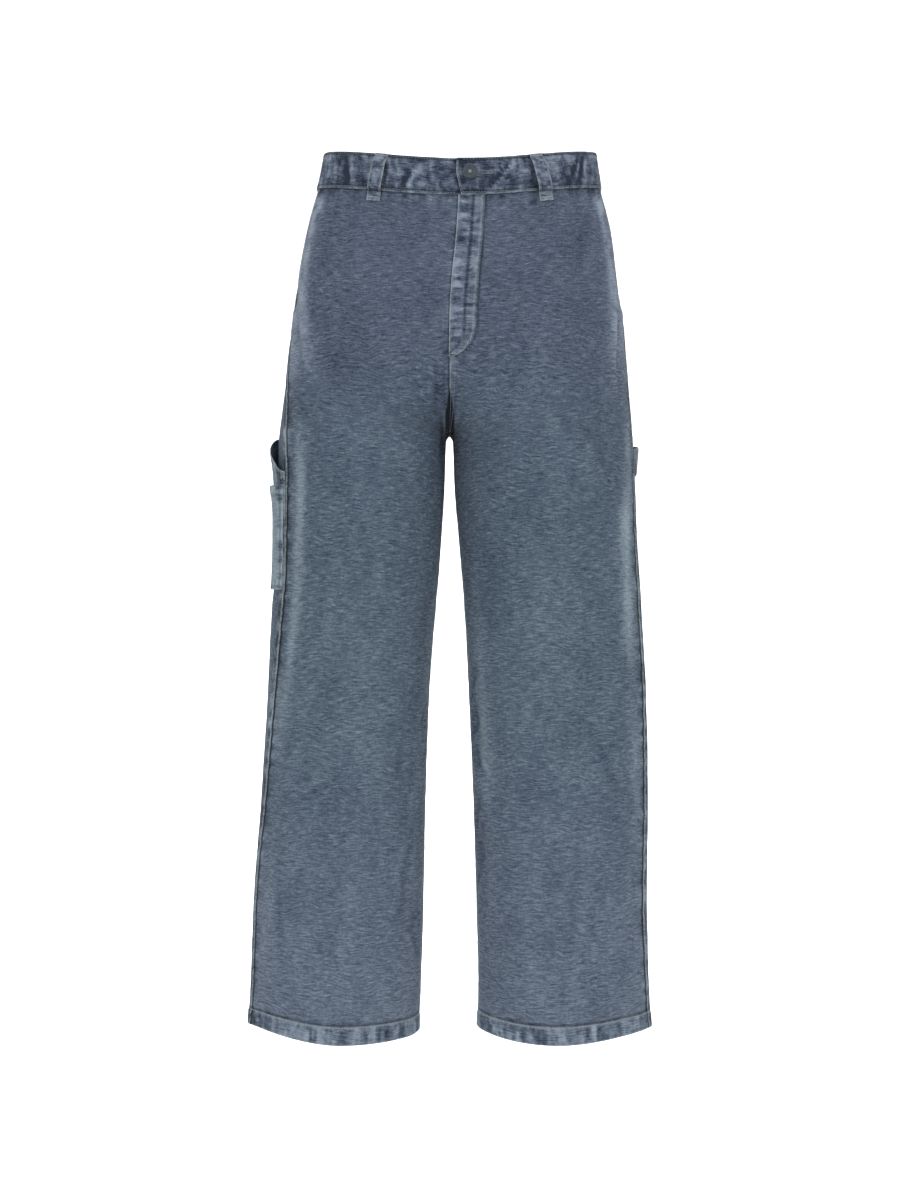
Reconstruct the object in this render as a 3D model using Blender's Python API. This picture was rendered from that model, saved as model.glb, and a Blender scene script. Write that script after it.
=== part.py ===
"""Carpenter pants, filled out as if worn, with nobody in them.

Metres, +Z up, the wearer faces -Y and the wearer's left is +X. The origin is
the middle of the waistband ring, half way down the band at the wearer's side.

The cloth follows one shape, worked out row by row down the body. A row is
named by its drop, the distance below the band's top edge at the side. Across a
row, a place is named by its turn: 0 at the centre front or the inseam, 0.5 at
the side seam, and 1 at the centre back or the inseam again.
"""

import math

import bmesh
import bpy
import numpy as np
from mathutils import Matrix, Vector

for old in list(bpy.data.objects):
    bpy.data.objects.remove(old, do_unlink=True)

# Sizes that drive the cut
BAND_TOP = 0.0196
BAND_HEIGHT = 0.0414
CROTCH_Z = -0.304
FRONT_RISE_CURVE = 0.080
BACK_RISE_CURVE = 0.165
HEM_Z = -0.985
FOLDED_HEM = 0.020

# Cloth
SEAM_GAP = 0.0003
LAY_GAP = 0.0006
CLOTH = 0.002
BAND_CLOTH = 0.003
POCKET_CLOTH = 0.0015
LAP_WIDTH = 0.0098
LAP_RAISE = 0.0012
HEM_RAISE = 0.0008
HEM_INSIDE = 0.003

# The band dips in front and climbs at the back, and that fades out down the hips
FRONT_DIP = 0.024
BACK_CLIMB = 0.014
DIP_ENDS_Z = -0.215

# Front slant pocket: the mouth's distance from the side seam at its top and foot
MOUTH_TOP = 0.038
MOUTH_FOOT = 0.004
MOUTH_DROP = 0.189
FACING_UNDER = 0.012
FACING_PAST_SEAM = 0.008
FACING_BELOW = 0.010
FACING_GAP = 0.0008

# Fly, button and band end
FLY_WIDTH = 0.029
FLY_DROP = 0.2455
FLY_CURVE = 0.037
FLY_RAISE = 0.0012
BUTTON_RADIUS = 0.0085
BUTTON_THICK = 0.0032
BUTTON_ARC = 0.0112
BUTTON_DROP = 0.0166
BUTTON_GAP = 0.0007
UNDERLAP = 0.034
BAND_STEP_OUT = 0.0016
BAND_STEP_IN = 0.0017
BAND_STEP_LENGTH = 0.030
BAND_TIP_ABOVE = -0.0040
BAND_TIP_BELOW = 0.0020
BAND_TIP_BENDS = 0.4

# Belt loops
LOOP_WIDTH = 0.0152
LOOP_BELOW_BAND = 0.013
LOOP_STANDS = 0.0058
LOOP_SHOULDER = 0.8
LOOP_FOOT_SEWN = 0.0065
LOOP_CLOTH = 0.0018

# Tool pocket on the wearer's right thigh, and the hammer loop on the left
TOOL_WIDTH = 0.096
TOOL_MOUTH_FRONT = 0.3685
TOOL_MOUTH_BACK = 0.326
TOOL_FOOT = 0.5014
TOOL_GAPE = 0.0078
TOOL_GAPE_LEAN = 0.6
TOOL_GAPE_DEPTH = 0.10
TOOL_SEWN_TO_LAP = 0.104
SLOT_MOUTH = 0.383
SLOT_GAPE = 0.0020
HAMMER_LENGTH = 0.112
HAMMER_HEIGHT = 0.032
HAMMER_DROP = 0.341
HAMMER_STANDS = 0.0080

RIGHT, LEFT = -1, 1
SIDE_NAMES = {RIGHT: "right", LEFT: "left"}


def table(columns, *rows):
    """A named-column table: the first column is what the rest are looked up by."""
    return {name: [row[i] for row in rows] for i, name in enumerate(columns)}


# Hips and waist: the outline on each side, the depth in front and behind, and how
# far behind (+) or in front (-) of the outline the side seam runs
TRUNK = table(
    ("z", "right", "left", "front", "back", "right_seam", "left_seam", "centre_front", "centre_back"),
    (0.030, -0.1560, 0.1530, 0.100, 0.106, 0.036, 0.036, -0.0026, -0.0030),
    (0.000, -0.1610, 0.1560, 0.102, 0.110, 0.036, 0.036, -0.0030, -0.0034),
    (-0.022, -0.1665, 0.1595, 0.105, 0.118, 0.036, 0.036, -0.0036, -0.0040),
    (-0.075, -0.1794, 0.1714, 0.112, 0.136, 0.028, 0.028, -0.0066, -0.0056),
    (-0.130, -0.1886, 0.1783, 0.116, 0.151, 0.012, 0.014, -0.0112, -0.0080),
    (-0.185, -0.1950, 0.1853, 0.118, 0.158, -0.012, -0.006, -0.0136, -0.0108),
    (-0.240, -0.2016, 0.1890, 0.117, 0.155, -0.034, -0.018, -0.0142, -0.0132),
    (-0.304, -0.2090, 0.1943, 0.112, 0.142, -0.054, -0.024, -0.0144, -0.0144),
)

# Each leg: outline outside and inside, depths, and the side seam as above
LEG_RIGHT = table(
    ("z", "outer", "inner", "front", "back", "seam"),
    (-0.139, -0.1900, -0.0144, 0.116, 0.151, 0.008),
    (-0.196, -0.1970, -0.0144, 0.112, 0.146, -0.016),
    (-0.304, -0.2090, -0.0144, 0.104, 0.129, -0.055),
    (-0.310, -0.2096, -0.0182, 0.103, 0.128, -0.056),
    (-0.360, -0.2106, -0.0197, 0.098, 0.118, -0.056),
    (-0.415, -0.2128, -0.0230, 0.093, 0.109, -0.055),
    (-0.470, -0.2146, -0.0270, 0.088, 0.102, -0.053),
    (-0.498, -0.2176, -0.0296, 0.086, 0.098, -0.052),
    (-0.608, -0.2243, -0.0378, 0.079, 0.087, -0.043),
    (-0.719, -0.2312, -0.0416, 0.075, 0.082, -0.035),
    (-0.829, -0.2390, -0.0438, 0.072, 0.079, -0.027),
    (-0.940, -0.2428, -0.0472, 0.070, 0.076, -0.025),
    (-1.000, -0.2462, -0.0505, 0.070, 0.075, -0.025),
)
LEG_LEFT = table(
    ("z", "outer", "inner", "front", "back", "seam"),
    (-0.139, 0.1800, -0.0144, 0.116, 0.151, 0.010),
    (-0.196, 0.1862, -0.0144, 0.112, 0.146, -0.008),
    (-0.304, 0.1943, -0.0144, 0.104, 0.129, -0.024),
    (-0.310, 0.1949, -0.0106, 0.103, 0.128, -0.025),
    (-0.360, 0.1974, -0.0090, 0.098, 0.118, -0.026),
    (-0.415, 0.2004, -0.0046, 0.093, 0.109, -0.033),
    (-0.498, 0.2059, 0.0023, 0.086, 0.098, -0.034),
    (-0.608, 0.2126, 0.0081, 0.079, 0.087, -0.033),
    (-0.719, 0.2139, 0.0127, 0.075, 0.082, -0.031),
    (-0.829, 0.2130, 0.0160, 0.072, 0.079, -0.032),
    (-0.940, 0.2151, 0.0184, 0.070, 0.076, -0.027),
    (-1.000, 0.2172, 0.0174, 0.070, 0.075, -0.024),
)
LEGS = {RIGHT: LEG_RIGHT, LEFT: LEG_LEFT}

TRUNK_ROUNDNESS = 2.35
LEG_ROUNDNESS = 2.25

# How far the hem curves away from its level: outside and inside each leg, and the
# middle of its front and back. The curve begins at a height above it.
HEM_SIDES = {RIGHT: (0.0090, -0.0010), LEFT: (0.0050, 0.0040)}
HEM_FRONT = -0.0076
HEM_BACK = -0.0040
HEM_SLOPE_TOP = -0.80

# The largest soft folds: leg, turn, drop, width, length, slant and height. A trough
# has a height below nothing. The slant is the turn gained for each metre of drop.
FOLDS = (
    (RIGHT, 0.045, 0.655, 0.012, 0.030, 0.9, -0.0050),
    (RIGHT, 0.085, 0.672, 0.010, 0.026, 1.2, 0.0030),
    (RIGHT, 0.330, 0.730, 0.016, 0.030, -1.0, -0.0030),
    (RIGHT, 0.400, 0.470, 0.024, 0.120, 0.1, 0.0035),
    (RIGHT, 0.250, 0.360, 0.040, 0.120, 0.1, 0.0025),
    (RIGHT, 0.060, 0.330, 0.012, 0.050, 0.5, -0.0040),
    (RIGHT, 0.120, 0.300, 0.016, 0.055, 0.4, 0.0025),
    (RIGHT, 0.900, 0.390, 0.018, 0.024, -2.6, -0.0060),
    (RIGHT, 0.820, 0.440, 0.022, 0.030, -1.8, 0.0040),
    (RIGHT, 0.760, 0.660, 0.020, 0.026, 2.0, -0.0055),
    (RIGHT, 0.700, 0.700, 0.020, 0.030, 1.6, 0.0035),
    (RIGHT, 0.880, 0.760, 0.016, 0.040, 1.0, -0.0040),
    (LEFT, 0.050, 0.640, 0.012, 0.034, 0.8, -0.0050),
    (LEFT, 0.075, 0.720, 0.011, 0.040, 0.8, 0.0030),
    (LEFT, 0.060, 0.790, 0.012, 0.036, 0.6, -0.0040),
    (LEFT, 0.410, 0.520, 0.024, 0.140, -0.1, 0.0035),
    (LEFT, 0.240, 0.380, 0.040, 0.120, -0.1, 0.0025),
    (LEFT, 0.060, 0.330, 0.012, 0.050, 0.5, -0.0040),
    (LEFT, 0.115, 0.300, 0.016, 0.055, 0.4, 0.0025),
    (LEFT, 0.905, 0.395, 0.018, 0.026, -2.4, -0.0060),
    (LEFT, 0.830, 0.450, 0.022, 0.030, -1.8, 0.0040),
    (LEFT, 0.750, 0.650, 0.020, 0.026, 2.2, -0.0050),
    (LEFT, 0.690, 0.705, 0.020, 0.030, 1.4, 0.0035),
    (LEFT, 0.870, 0.800, 0.016, 0.040, 1.2, -0.0035),
)
CLOTH_ACROSS_A_TURN = 0.60

# How finely the shape is worked out before the pieces are cut from it
ARC_SAMPLES = 72
SHAPE_COLUMNS = 96
SHAPE_ROW_STEP = 0.006

# How many strips each panel is cut into
FRONT_COLUMNS = 14
BACK_COLUMNS = 15


def look_up(columns, name, z):
    """A value of a table at height z, on a smooth curve through its rows."""
    heights = columns["z"]
    values = columns[name]
    last = len(heights) - 1
    if z >= heights[0]:
        return values[0]
    if z <= heights[last]:
        return values[last]
    i = next(k for k in range(last) if heights[k + 1] <= z)
    run = heights[i + 1] - heights[i]
    part = (z - heights[i]) / run
    rates = [(values[k + 1] - values[k]) / (heights[k + 1] - heights[k]) for k in range(last)]

    def slope(k):
        """No slope where the values turn back, so that the curve never overshoots."""
        if k in (0, last):
            return rates[min(k, last - 1)]
        if rates[k - 1] * rates[k] <= 0.0:
            return 0.0
        return 2.0 * rates[k - 1] * rates[k] / (rates[k - 1] + rates[k])

    square = part * part
    cube = square * part
    return (
        (2 * cube - 3 * square + 1) * values[i]
        + (cube - 2 * square + part) * run * slope(i)
        + (3 * square - 2 * cube) * values[i + 1]
        + (cube - square) * run * slope(i + 1)
    )


def smooth_step(part):
    """From 0 to 1, level at both ends."""
    part = np.clip(part, 0.0, 1.0)
    return part * part * (3.0 - 2.0 * part)


def signed_power(value, power):
    return math.copysign(abs(value) ** power, value)


def seam_angle(seam, front, back, power):
    """The angle from the front at which an oval has the side seam's depth."""
    if seam <= 0.0:
        return math.acos((-seam / front) ** (1.0 / power))
    return math.pi - math.acos((seam / back) ** (1.0 / power))


def evenly_spaced(points, count):
    """The points of a line, moved along it to lie at equal distances."""
    points = np.array(points)
    steps = np.linalg.norm(np.diff(points, axis=0), axis=1)
    along = np.concatenate(([0.0], np.cumsum(steps)))
    wanted = np.linspace(0.0, along[-1], count + 1)
    return np.stack([np.interp(wanted, along, points[:, k]) for k in (0, 1)], axis=1)


def two_arcs(point_at, start, seam, end):
    """A section's front arc and back arc, each evenly spaced, joined at the seam."""
    half = SHAPE_COLUMNS // 2
    front = [point_at(start + (seam - start) * i / ARC_SAMPLES) for i in range(ARC_SAMPLES + 1)]
    back = [point_at(seam + (end - seam) * i / ARC_SAMPLES) for i in range(ARC_SAMPLES + 1)]
    return np.concatenate((evenly_spaced(front, half), evenly_spaced(back, half)[1:]))


def trunk_section(side, z):
    """Half the hips at one height, from centre front round to centre back."""
    name = SIDE_NAMES[side]
    outer = look_up(TRUNK, name, z)
    front = look_up(TRUNK, "front", z)
    back = look_up(TRUNK, "back", z)
    middle_front = look_up(TRUNK, "centre_front", z)
    middle_back = look_up(TRUNK, "centre_back", z)
    power = 2.0 / TRUNK_ROUNDNESS

    def point_at(angle):
        forward = math.cos(angle)
        middle = middle_front if forward > 0 else middle_back
        depth = front if forward > 0 else back
        x = middle + (outer - middle) * abs(math.sin(angle)) ** power
        return (x, -depth * signed_power(forward, power))

    seam = seam_angle(look_up(TRUNK, name + "_seam", z), front, back, power)
    return two_arcs(point_at, 0.0, seam, math.pi)


def leg_section(side, z):
    """All round one leg at one height, from the inseam past the front and back to it."""
    leg = LEGS[side]
    outer = look_up(leg, "outer", z)
    inner = look_up(leg, "inner", z)
    front = look_up(leg, "front", z)
    back = look_up(leg, "back", z)
    middle = (outer + inner) / 2
    half_width = (outer - inner) / 2
    power = 2.0 / LEG_ROUNDNESS

    def point_at(angle):
        forward = math.cos(angle)
        depth = front if forward > 0 else back
        x = middle + half_width * signed_power(math.sin(angle), power)
        return (x, -depth * signed_power(forward, power))

    seam = seam_angle(look_up(leg, "seam", z), front, back, power)
    return two_arcs(point_at, -math.pi / 2, seam, 1.5 * math.pi)


def hem_curve(side, turn):
    """How far the hem rises or dips at each turn."""
    outside, inside = HEM_SIDES[side]
    sideways = np.sin(math.tau * (turn - 0.25))
    share = sideways ** 2
    middle = np.where(turn < 0.5, HEM_FRONT, HEM_BACK)
    return share * np.where(sideways > 0.0, outside, inside) + (1.0 - share) * middle


def shape_row(side, drop):
    """One row of the shape: the hips, the leg, or the hips turning into the leg.

    The seam between the legs drops along a quarter of an ellipse, tighter in front.
    """
    z = BAND_TOP - drop
    turn = np.linspace(0.0, 1.0, SHAPE_COLUMNS + 1)
    in_front = turn < 0.5
    behind = smooth_step((turn - 0.3) / 0.4)
    curve = FRONT_RISE_CURVE + (BACK_RISE_CURVE - FRONT_RISE_CURVE) * behind
    part = np.clip((CROTCH_Z + curve - z) / curve, 0.0, 1.0)
    leg_share = (1.0 - np.cos(part * math.pi / 2))[:, None]
    flat = np.zeros((SHAPE_COLUMNS + 1, 2))
    if leg_share.min() < 1.0:
        flat += (1.0 - leg_share) * trunk_section(side, z)
    if leg_share.max() > 0.0:
        flat += leg_share * leg_section(side, z)
    centre = np.cos(math.pi * turn) ** 2
    heights = z + curve * (part - np.sin(part * math.pi / 2)) * centre
    fade = smooth_step((z - DIP_ENDS_Z) / (-DIP_ENDS_Z - BAND_HEIGHT / 2))
    heights += fade * centre * np.where(in_front, -FRONT_DIP, BACK_CLIMB)
    near_hem = min(max((HEM_SLOPE_TOP - z) / (HEM_SLOPE_TOP - HEM_Z), 0.0), 1.0) ** 2
    return np.column_stack((flat, heights + near_hem * hem_curve(side, turn)))


def unit(vectors):
    return vectors / np.maximum(np.linalg.norm(vectors, axis=-1, keepdims=True), 1e-9)


def outward_normals(points, side, drops):
    """Which way the cloth faces at each point of half the shape."""
    across = np.gradient(points, axis=1)
    down = np.gradient(points, axis=0)
    normals = unit(np.cross(down, across) * side)
    above_crotch = drops < BAND_TOP - CROTCH_Z - 1e-6
    for column in (0, -1):
        normals[above_crotch, column, 0] = 0.0
    inseam = unit(normals[:, 0] + normals[:, -1])
    normals[~above_crotch, 0] = inseam[~above_crotch]
    normals[~above_crotch, -1] = inseam[~above_crotch]
    return unit(normals)


def fold_heights(side, drops):
    """How far the soft folds stand out from the plain shape."""
    turns, levels = np.meshgrid(np.linspace(0.0, 1.0, SHAPE_COLUMNS + 1), drops)
    heights = np.zeros_like(turns)
    for leg, turn, drop, width, length, slant, height in FOLDS:
        if leg != side:
            continue
        aside = (turns - turn - slant * (levels - drop)) * CLOTH_ACROSS_A_TURN / width
        along = (levels - drop) / length
        heights += height * np.exp(-aside * aside - along * along)
    settle = np.minimum(np.sin(math.pi * turns) ** 2 * 60.0, 1.0)
    return heights * np.where(levels < BAND_TOP - CROTCH_Z, settle, np.maximum(settle, 0.35))


def work_out_half(side):
    drops = np.arange(-0.006, BAND_TOP - HEM_Z + 2.5 * SHAPE_ROW_STEP, SHAPE_ROW_STEP)
    points = np.stack([shape_row(side, drop) for drop in drops])
    normals = outward_normals(points, side, drops)
    half = SHAPE_COLUMNS // 2
    steps = np.linalg.norm(np.diff(points, axis=1), axis=2)
    return {
        "first": drops[0],
        "points": points,
        "normals": normals,
        "folds": fold_heights(side, drops),
        "front_arc": steps[:, :half].sum(axis=1),
        "back_arc": steps[:, half:].sum(axis=1),
    }


SHAPE = {side: work_out_half(side) for side in (RIGHT, LEFT)}


def arc_length(side, name, drop):
    """How wide the front or the back is across one row."""
    lengths = SHAPE[side][name]
    place = (drop - SHAPE[side]["first"]) / SHAPE_ROW_STEP
    return float(np.interp(place, range(len(lengths)), lengths))


def on_cloth(side, turn, drop, lift):
    """A point of the shape, moved out of the cloth by lift."""
    shape = SHAPE[side]
    row = min(max((drop - shape["first"]) / SHAPE_ROW_STEP, 0.0), len(shape["points"]) - 1.001)
    column = min(max(turn, 0.0), 1.0) * SHAPE_COLUMNS
    column = min(column, SHAPE_COLUMNS - 1e-6)
    i, j = int(row), int(column)
    a, b = row - i, column - j

    def between(grid):
        above = grid[i, j] * (1 - b) + grid[i, j + 1] * b
        below = grid[i + 1, j] * (1 - b) + grid[i + 1, j + 1] * b
        return above * (1 - a) + below * a

    normal = unit(between(shape["normals"]))
    return Vector(between(shape["points"]) + normal * (lift + between(shape["folds"])))


def front_turn(side, distance, drop):
    """The turn of a place at a distance from the centre front or inseam."""
    return 0.5 * distance / arc_length(side, "front_arc", drop)


def before_seam(side, distance, drop):
    """The turn of a place at a distance in front of the side seam."""
    return 0.5 - 0.5 * distance / arc_length(side, "front_arc", drop)


def behind_seam(side, distance, drop):
    """The turn of a place at a distance behind the side seam."""
    return 0.5 + 0.5 * distance / arc_length(side, "back_arc", drop)


def material(name, colour, roughness, metallic=0.0):
    new = bpy.data.materials.new(name)
    new.use_nodes = True
    shader = new.node_tree.nodes["Principled BSDF"]
    shader.inputs["Base Color"].default_value = (*colour, 1.0)
    shader.inputs["Roughness"].default_value = roughness
    shader.inputs["Metallic"].default_value = metallic
    return new


def finish(bm, name, colour, roughness):
    """Turns a closed bmesh into the named object, with its faces pointing out."""
    bm.normal_update()
    bmesh.ops.recalc_face_normals(bm, faces=bm.faces)
    mesh = bpy.data.meshes.new(name)
    bm.to_mesh(mesh)
    bm.free()
    mesh.shade_smooth()
    mesh.set_sharp_from_angle(angle=math.radians(40))
    mesh.materials.append(material(name, colour, roughness))
    piece = bpy.data.objects.new(name, mesh)
    bpy.context.collection.objects.link(piece)
    return piece


def wall(name, columns, rows, place, colour, roughness=0.9):
    """A wall of cloth: a grid of faces, closed by a second one behind it.

    place(column, row, inside) gives the point of a grid corner on either face.
    """
    bm = bmesh.new()
    bmesh.ops.create_grid(bm, x_segments=columns, y_segments=rows, size=0.5)
    behind = bmesh.ops.extrude_face_region(bm, geom=list(bm.faces), use_keep_orig=True)
    inner = {item for item in behind["geom"] if isinstance(item, bmesh.types.BMVert)}
    for corner in bm.verts:
        column = round((corner.co.x + 0.5) * columns)
        row = round((corner.co.y + 0.5) * rows)
        corner.co = place(column, row, corner in inner)
    return finish(bm, name, colour, roughness)


def spread(start, end, count):
    return [start + (end - start) * i / count for i in range(count + 1)]


# Colours of the washed canvas, where it is darker and where it is worn
CANVAS_FRONT = (0.085, 0.115, 0.150)
CANVAS_BACK = (0.080, 0.108, 0.142)
CANVAS_BAND = (0.082, 0.100, 0.135)
CANVAS_WORN = (0.120, 0.155, 0.185)
CANVAS_DEEP = (0.050, 0.068, 0.090)
BUTTON_TEAL = (0.060, 0.085, 0.100)

PANEL_TOP = BAND_HEIGHT + SEAM_GAP
PANEL_FOOT = BAND_TOP - HEM_Z
RISE_END = BAND_TOP - CROTCH_Z
LEGS_PART = 0.0026
PANEL_ROWS = (
    spread(PANEL_TOP, MOUTH_DROP, 7)
    + spread(MOUTH_DROP + 0.003, RISE_END, 8)
    + [RISE_END + LEGS_PART]
    + spread(RISE_END, PANEL_FOOT - FOLDED_HEM - 0.0004, 17)[1:]
    + [PANEL_FOOT - FOLDED_HEM, PANEL_FOOT]
)


def in_hem(drop):
    return drop > PANEL_FOOT - FOLDED_HEM - 1e-6


def cloth_face(drop, inside, raised=0.0):
    """How far one face of a panel's wall lies from the shape."""
    if inside:
        return -HEM_INSIDE if in_hem(drop) else -CLOTH
    return max(raised, HEM_RAISE if in_hem(drop) else 0.0)


def mouth_distance(drop):
    """How far in front of the side seam the slant pocket's mouth runs."""
    part = min(max((drop - PANEL_TOP) / (MOUTH_DROP - PANEL_TOP), 0.0), 1.0)
    return MOUTH_TOP + (MOUTH_FOOT - MOUTH_TOP) * part ** 1.15


def make_front(side):
    """A front, cut away along the slant pocket's mouth."""

    def place(column, row, inside):
        drop = PANEL_ROWS[row]
        start = front_turn(side, SEAM_GAP / 2, drop)
        edge = mouth_distance(drop) if drop <= MOUTH_DROP + 1e-6 else SEAM_GAP / 2
        end = before_seam(side, edge, drop)
        turn = start + (end - start) * column / FRONT_COLUMNS
        return on_cloth(side, turn, drop, cloth_face(drop, inside))

    return wall("front_" + SIDE_NAMES[side], FRONT_COLUMNS, len(PANEL_ROWS) - 1, place, CANVAS_FRONT)


def make_back(side):
    """A back, thicker along the side seam where it laps the front."""
    lap = [SEAM_GAP / 2, LAP_WIDTH, LAP_WIDTH + 0.0004]
    plain_columns = BACK_COLUMNS - len(lap) + 1

    def place(column, row, inside):
        drop = PANEL_ROWS[row]
        width = arc_length(side, "back_arc", drop)
        if column < len(lap):
            distance = lap[column]
        else:
            part = (column - len(lap) + 1) / plain_columns
            distance = lap[-1] + (width - SEAM_GAP / 2 - lap[-1]) * part
        raised = LAP_RAISE if column < 2 else 0.0
        return on_cloth(side, behind_seam(side, distance, drop), drop, cloth_face(drop, inside, raised))

    return wall("back_" + SIDE_NAMES[side], BACK_COLUMNS, len(PANEL_ROWS) - 1, place, CANVAS_BACK)


def make_pocket_facing(side):
    """The cloth seen inside a slant pocket's mouth, caught in the side seam."""
    rows = spread(PANEL_TOP + SEAM_GAP, MOUTH_DROP + FACING_BELOW, 7)
    columns = 5
    outer = -CLOTH - FACING_GAP

    def place(column, row, inside):
        drop = rows[row]
        start = before_seam(side, mouth_distance(drop) + FACING_UNDER, drop)
        end = behind_seam(side, FACING_PAST_SEAM, drop)
        turn = start + (end - start) * column / columns
        return on_cloth(side, turn, drop, outer - (POCKET_CLOTH if inside else 0.0))

    return wall("pocket_facing_" + SIDE_NAMES[side], columns, len(rows) - 1, place, CANVAS_DEEP)


BAND_MIDDLE = BAND_HEIGHT / 2
HALF_WAIST = {
    side: arc_length(side, "front_arc", BAND_MIDDLE) + arc_length(side, "back_arc", BAND_MIDDLE)
    for side in (RIGHT, LEFT)
}
WAIST = HALF_WAIST[RIGHT] + HALF_WAIST[LEFT]


def round_waist(arc, drop, lift):
    """A point by its distance from the centre front, + towards the wearer's left."""
    if arc > HALF_WAIST[LEFT]:
        arc -= WAIST
    elif arc < -HALF_WAIST[RIGHT]:
        arc += WAIST
    side = LEFT if arc >= 0.0 else RIGHT
    front = arc_length(side, "front_arc", BAND_MIDDLE)
    distance = abs(arc)
    if distance <= front:
        turn = front_turn(side, distance, BAND_MIDDLE)
    else:
        turn = behind_seam(side, distance - front, BAND_MIDDLE)
    return on_cloth(side, turn, drop, lift)


def make_waistband():
    """One strip round the waist, whose left end laps over its right end."""
    rows = spread(0.0, BAND_HEIGHT, 3)
    step_starts = WAIST - BAND_STEP_LENGTH
    stops = (
        [0.0, BAND_STEP_LENGTH / 2]
        + spread(BAND_STEP_LENGTH, step_starts, 34)
        + [WAIST - BAND_STEP_LENGTH / 2, WAIST, WAIST + UNDERLAP / 2, WAIST + UNDERLAP]
    )

    def end_slant(drop):
        """The overlap's tip: straight above, then cut back towards its lower corner."""
        below = max(drop / BAND_HEIGHT - BAND_TIP_BENDS, 0.0) / (1.0 - BAND_TIP_BENDS)
        return BAND_TIP_ABOVE + (BAND_TIP_BELOW - BAND_TIP_ABOVE) * below

    def place(column, row, inside):
        stop = stops[column]
        drop = rows[row]
        arc = stop if stop <= HALF_WAIST[LEFT] else stop - WAIST
        if stop < BAND_STEP_LENGTH:
            arc += end_slant(drop) * (1 - stop / BAND_STEP_LENGTH)
        into_end = min(max(1 - stop / BAND_STEP_LENGTH, 0.0), 1.0)
        into_start = min(max((stop - step_starts) / BAND_STEP_LENGTH, 0.0), 1.0)
        step = BAND_STEP_OUT * min(1.5 * into_end, 1.0) - BAND_STEP_IN * min(1.5 * into_start, 1.0)
        face = -CLOTH if inside else BAND_CLOTH - CLOTH
        return round_waist(arc, drop, face + step)

    return wall("waistband", len(stops) - 1, len(rows) - 1, place, CANVAS_BAND)


def make_belt_loop(name, arc, lean):
    """A folded strip that stands off the band between its two sewn ends."""
    band_face = BAND_CLOTH - CLOTH + LAY_GAP
    foot = BAND_HEIGHT + LOOP_BELOW_BAND
    path = (
        (0.0000, band_face),
        (0.0045, band_face),
        (0.0100, band_face + LOOP_SHOULDER * LOOP_STANDS),
        (0.0150, band_face + LOOP_STANDS),
        (0.0330, band_face + LOOP_STANDS),
        (0.0400, band_face + LOOP_SHOULDER * LOOP_STANDS),
        (foot - LOOP_FOOT_SEWN, LAY_GAP),
        (foot, LAY_GAP),
    )
    columns = 2

    def place(column, row, inside):
        drop, lift = path[row]
        aside = arc + lean * drop / foot + LOOP_WIDTH * (column / columns - 0.5)
        return round_waist(aside, drop, lift + (0.0 if inside else LOOP_CLOTH))

    return wall(name, columns, len(path) - 1, place, CANVAS_WORN)


def make_fly():
    """The fly's facing, raised on the wearer's left front and curved in at its foot."""
    rows = spread(PANEL_TOP + SEAM_GAP, FLY_DROP - FLY_CURVE, 6)
    rows += [FLY_DROP - FLY_CURVE + FLY_CURVE * math.sin(math.radians(a)) for a in (18, 36, 54, 70, 82)]
    columns = 3

    def place(column, row, inside):
        drop = rows[row]
        bend = max(drop - (FLY_DROP - FLY_CURVE), 0.0) / FLY_CURVE
        width = FLY_WIDTH * math.sqrt(max(1.0 - bend * bend, 0.0))
        turn = front_turn(LEFT, SEAM_GAP / 2 + width * column / columns, drop)
        return on_cloth(LEFT, turn, drop, LAY_GAP + (0.0 if inside else FLY_RAISE))

    return wall("fly", columns, len(rows) - 1, place, CANVAS_WORN)


def make_button():
    """A turned button with a raised rim, flat against the band's lapped end."""
    lap_face = BAND_CLOTH - CLOTH + BAND_STEP_OUT
    seat = round_waist(BUTTON_ARC, BUTTON_DROP, lap_face + BUTTON_GAP)
    beyond = round_waist(BUTTON_ARC, BUTTON_DROP, lap_face + BUTTON_RADIUS)
    profile = (
        (0.0, 0.0),
        (0.80 * BUTTON_RADIUS, 0.0),
        (BUTTON_RADIUS, 0.35 * BUTTON_THICK),
        (BUTTON_RADIUS, 0.70 * BUTTON_THICK),
        (0.88 * BUTTON_RADIUS, BUTTON_THICK),
        (0.72 * BUTTON_RADIUS, 0.92 * BUTTON_THICK),
        (0.60 * BUTTON_RADIUS, 0.66 * BUTTON_THICK),
        (0.0, 0.60 * BUTTON_THICK),
    )
    bm = bmesh.new()
    corners = [bm.verts.new((radius, 0.0, height)) for radius, height in profile]
    edges = [bm.edges.new(pair) for pair in zip(corners, corners[1:])]
    bmesh.ops.spin(
        bm, geom=corners + edges, cent=(0, 0, 0), axis=(0, 0, 1),
        angle=math.tau, steps=24, use_merge=True, use_duplicate=False,
    )
    bmesh.ops.remove_doubles(bm, verts=bm.verts, dist=1e-5)
    turn = (beyond - seat).to_track_quat("Z", "Y").to_matrix().to_4x4()
    bmesh.ops.transform(bm, matrix=Matrix.Translation(seat) @ turn, verts=bm.verts)
    return finish(bm, "button", BUTTON_TEAL, 0.45)


def tool_mouth(part):
    """The drop of the tool pocket's slanted mouth, from its front end to its back end."""
    return TOOL_MOUTH_FRONT + (TOOL_MOUTH_BACK - TOOL_MOUTH_FRONT) * math.sin(part * math.pi / 2)


def pocket_lift(part, below):
    """How far the tool pocket's back face stands off the panel."""
    on_lap = LAP_RAISE if part <= TOOL_SEWN_TO_LAP else 0.0
    across = math.sin(math.pi * part ** TOOL_GAPE_LEAN) ** 0.8
    down = max(1.0 - below / TOOL_GAPE_DEPTH, 0.0) ** 1.6
    return LAY_GAP + on_lap + TOOL_GAPE * across * down


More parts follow.
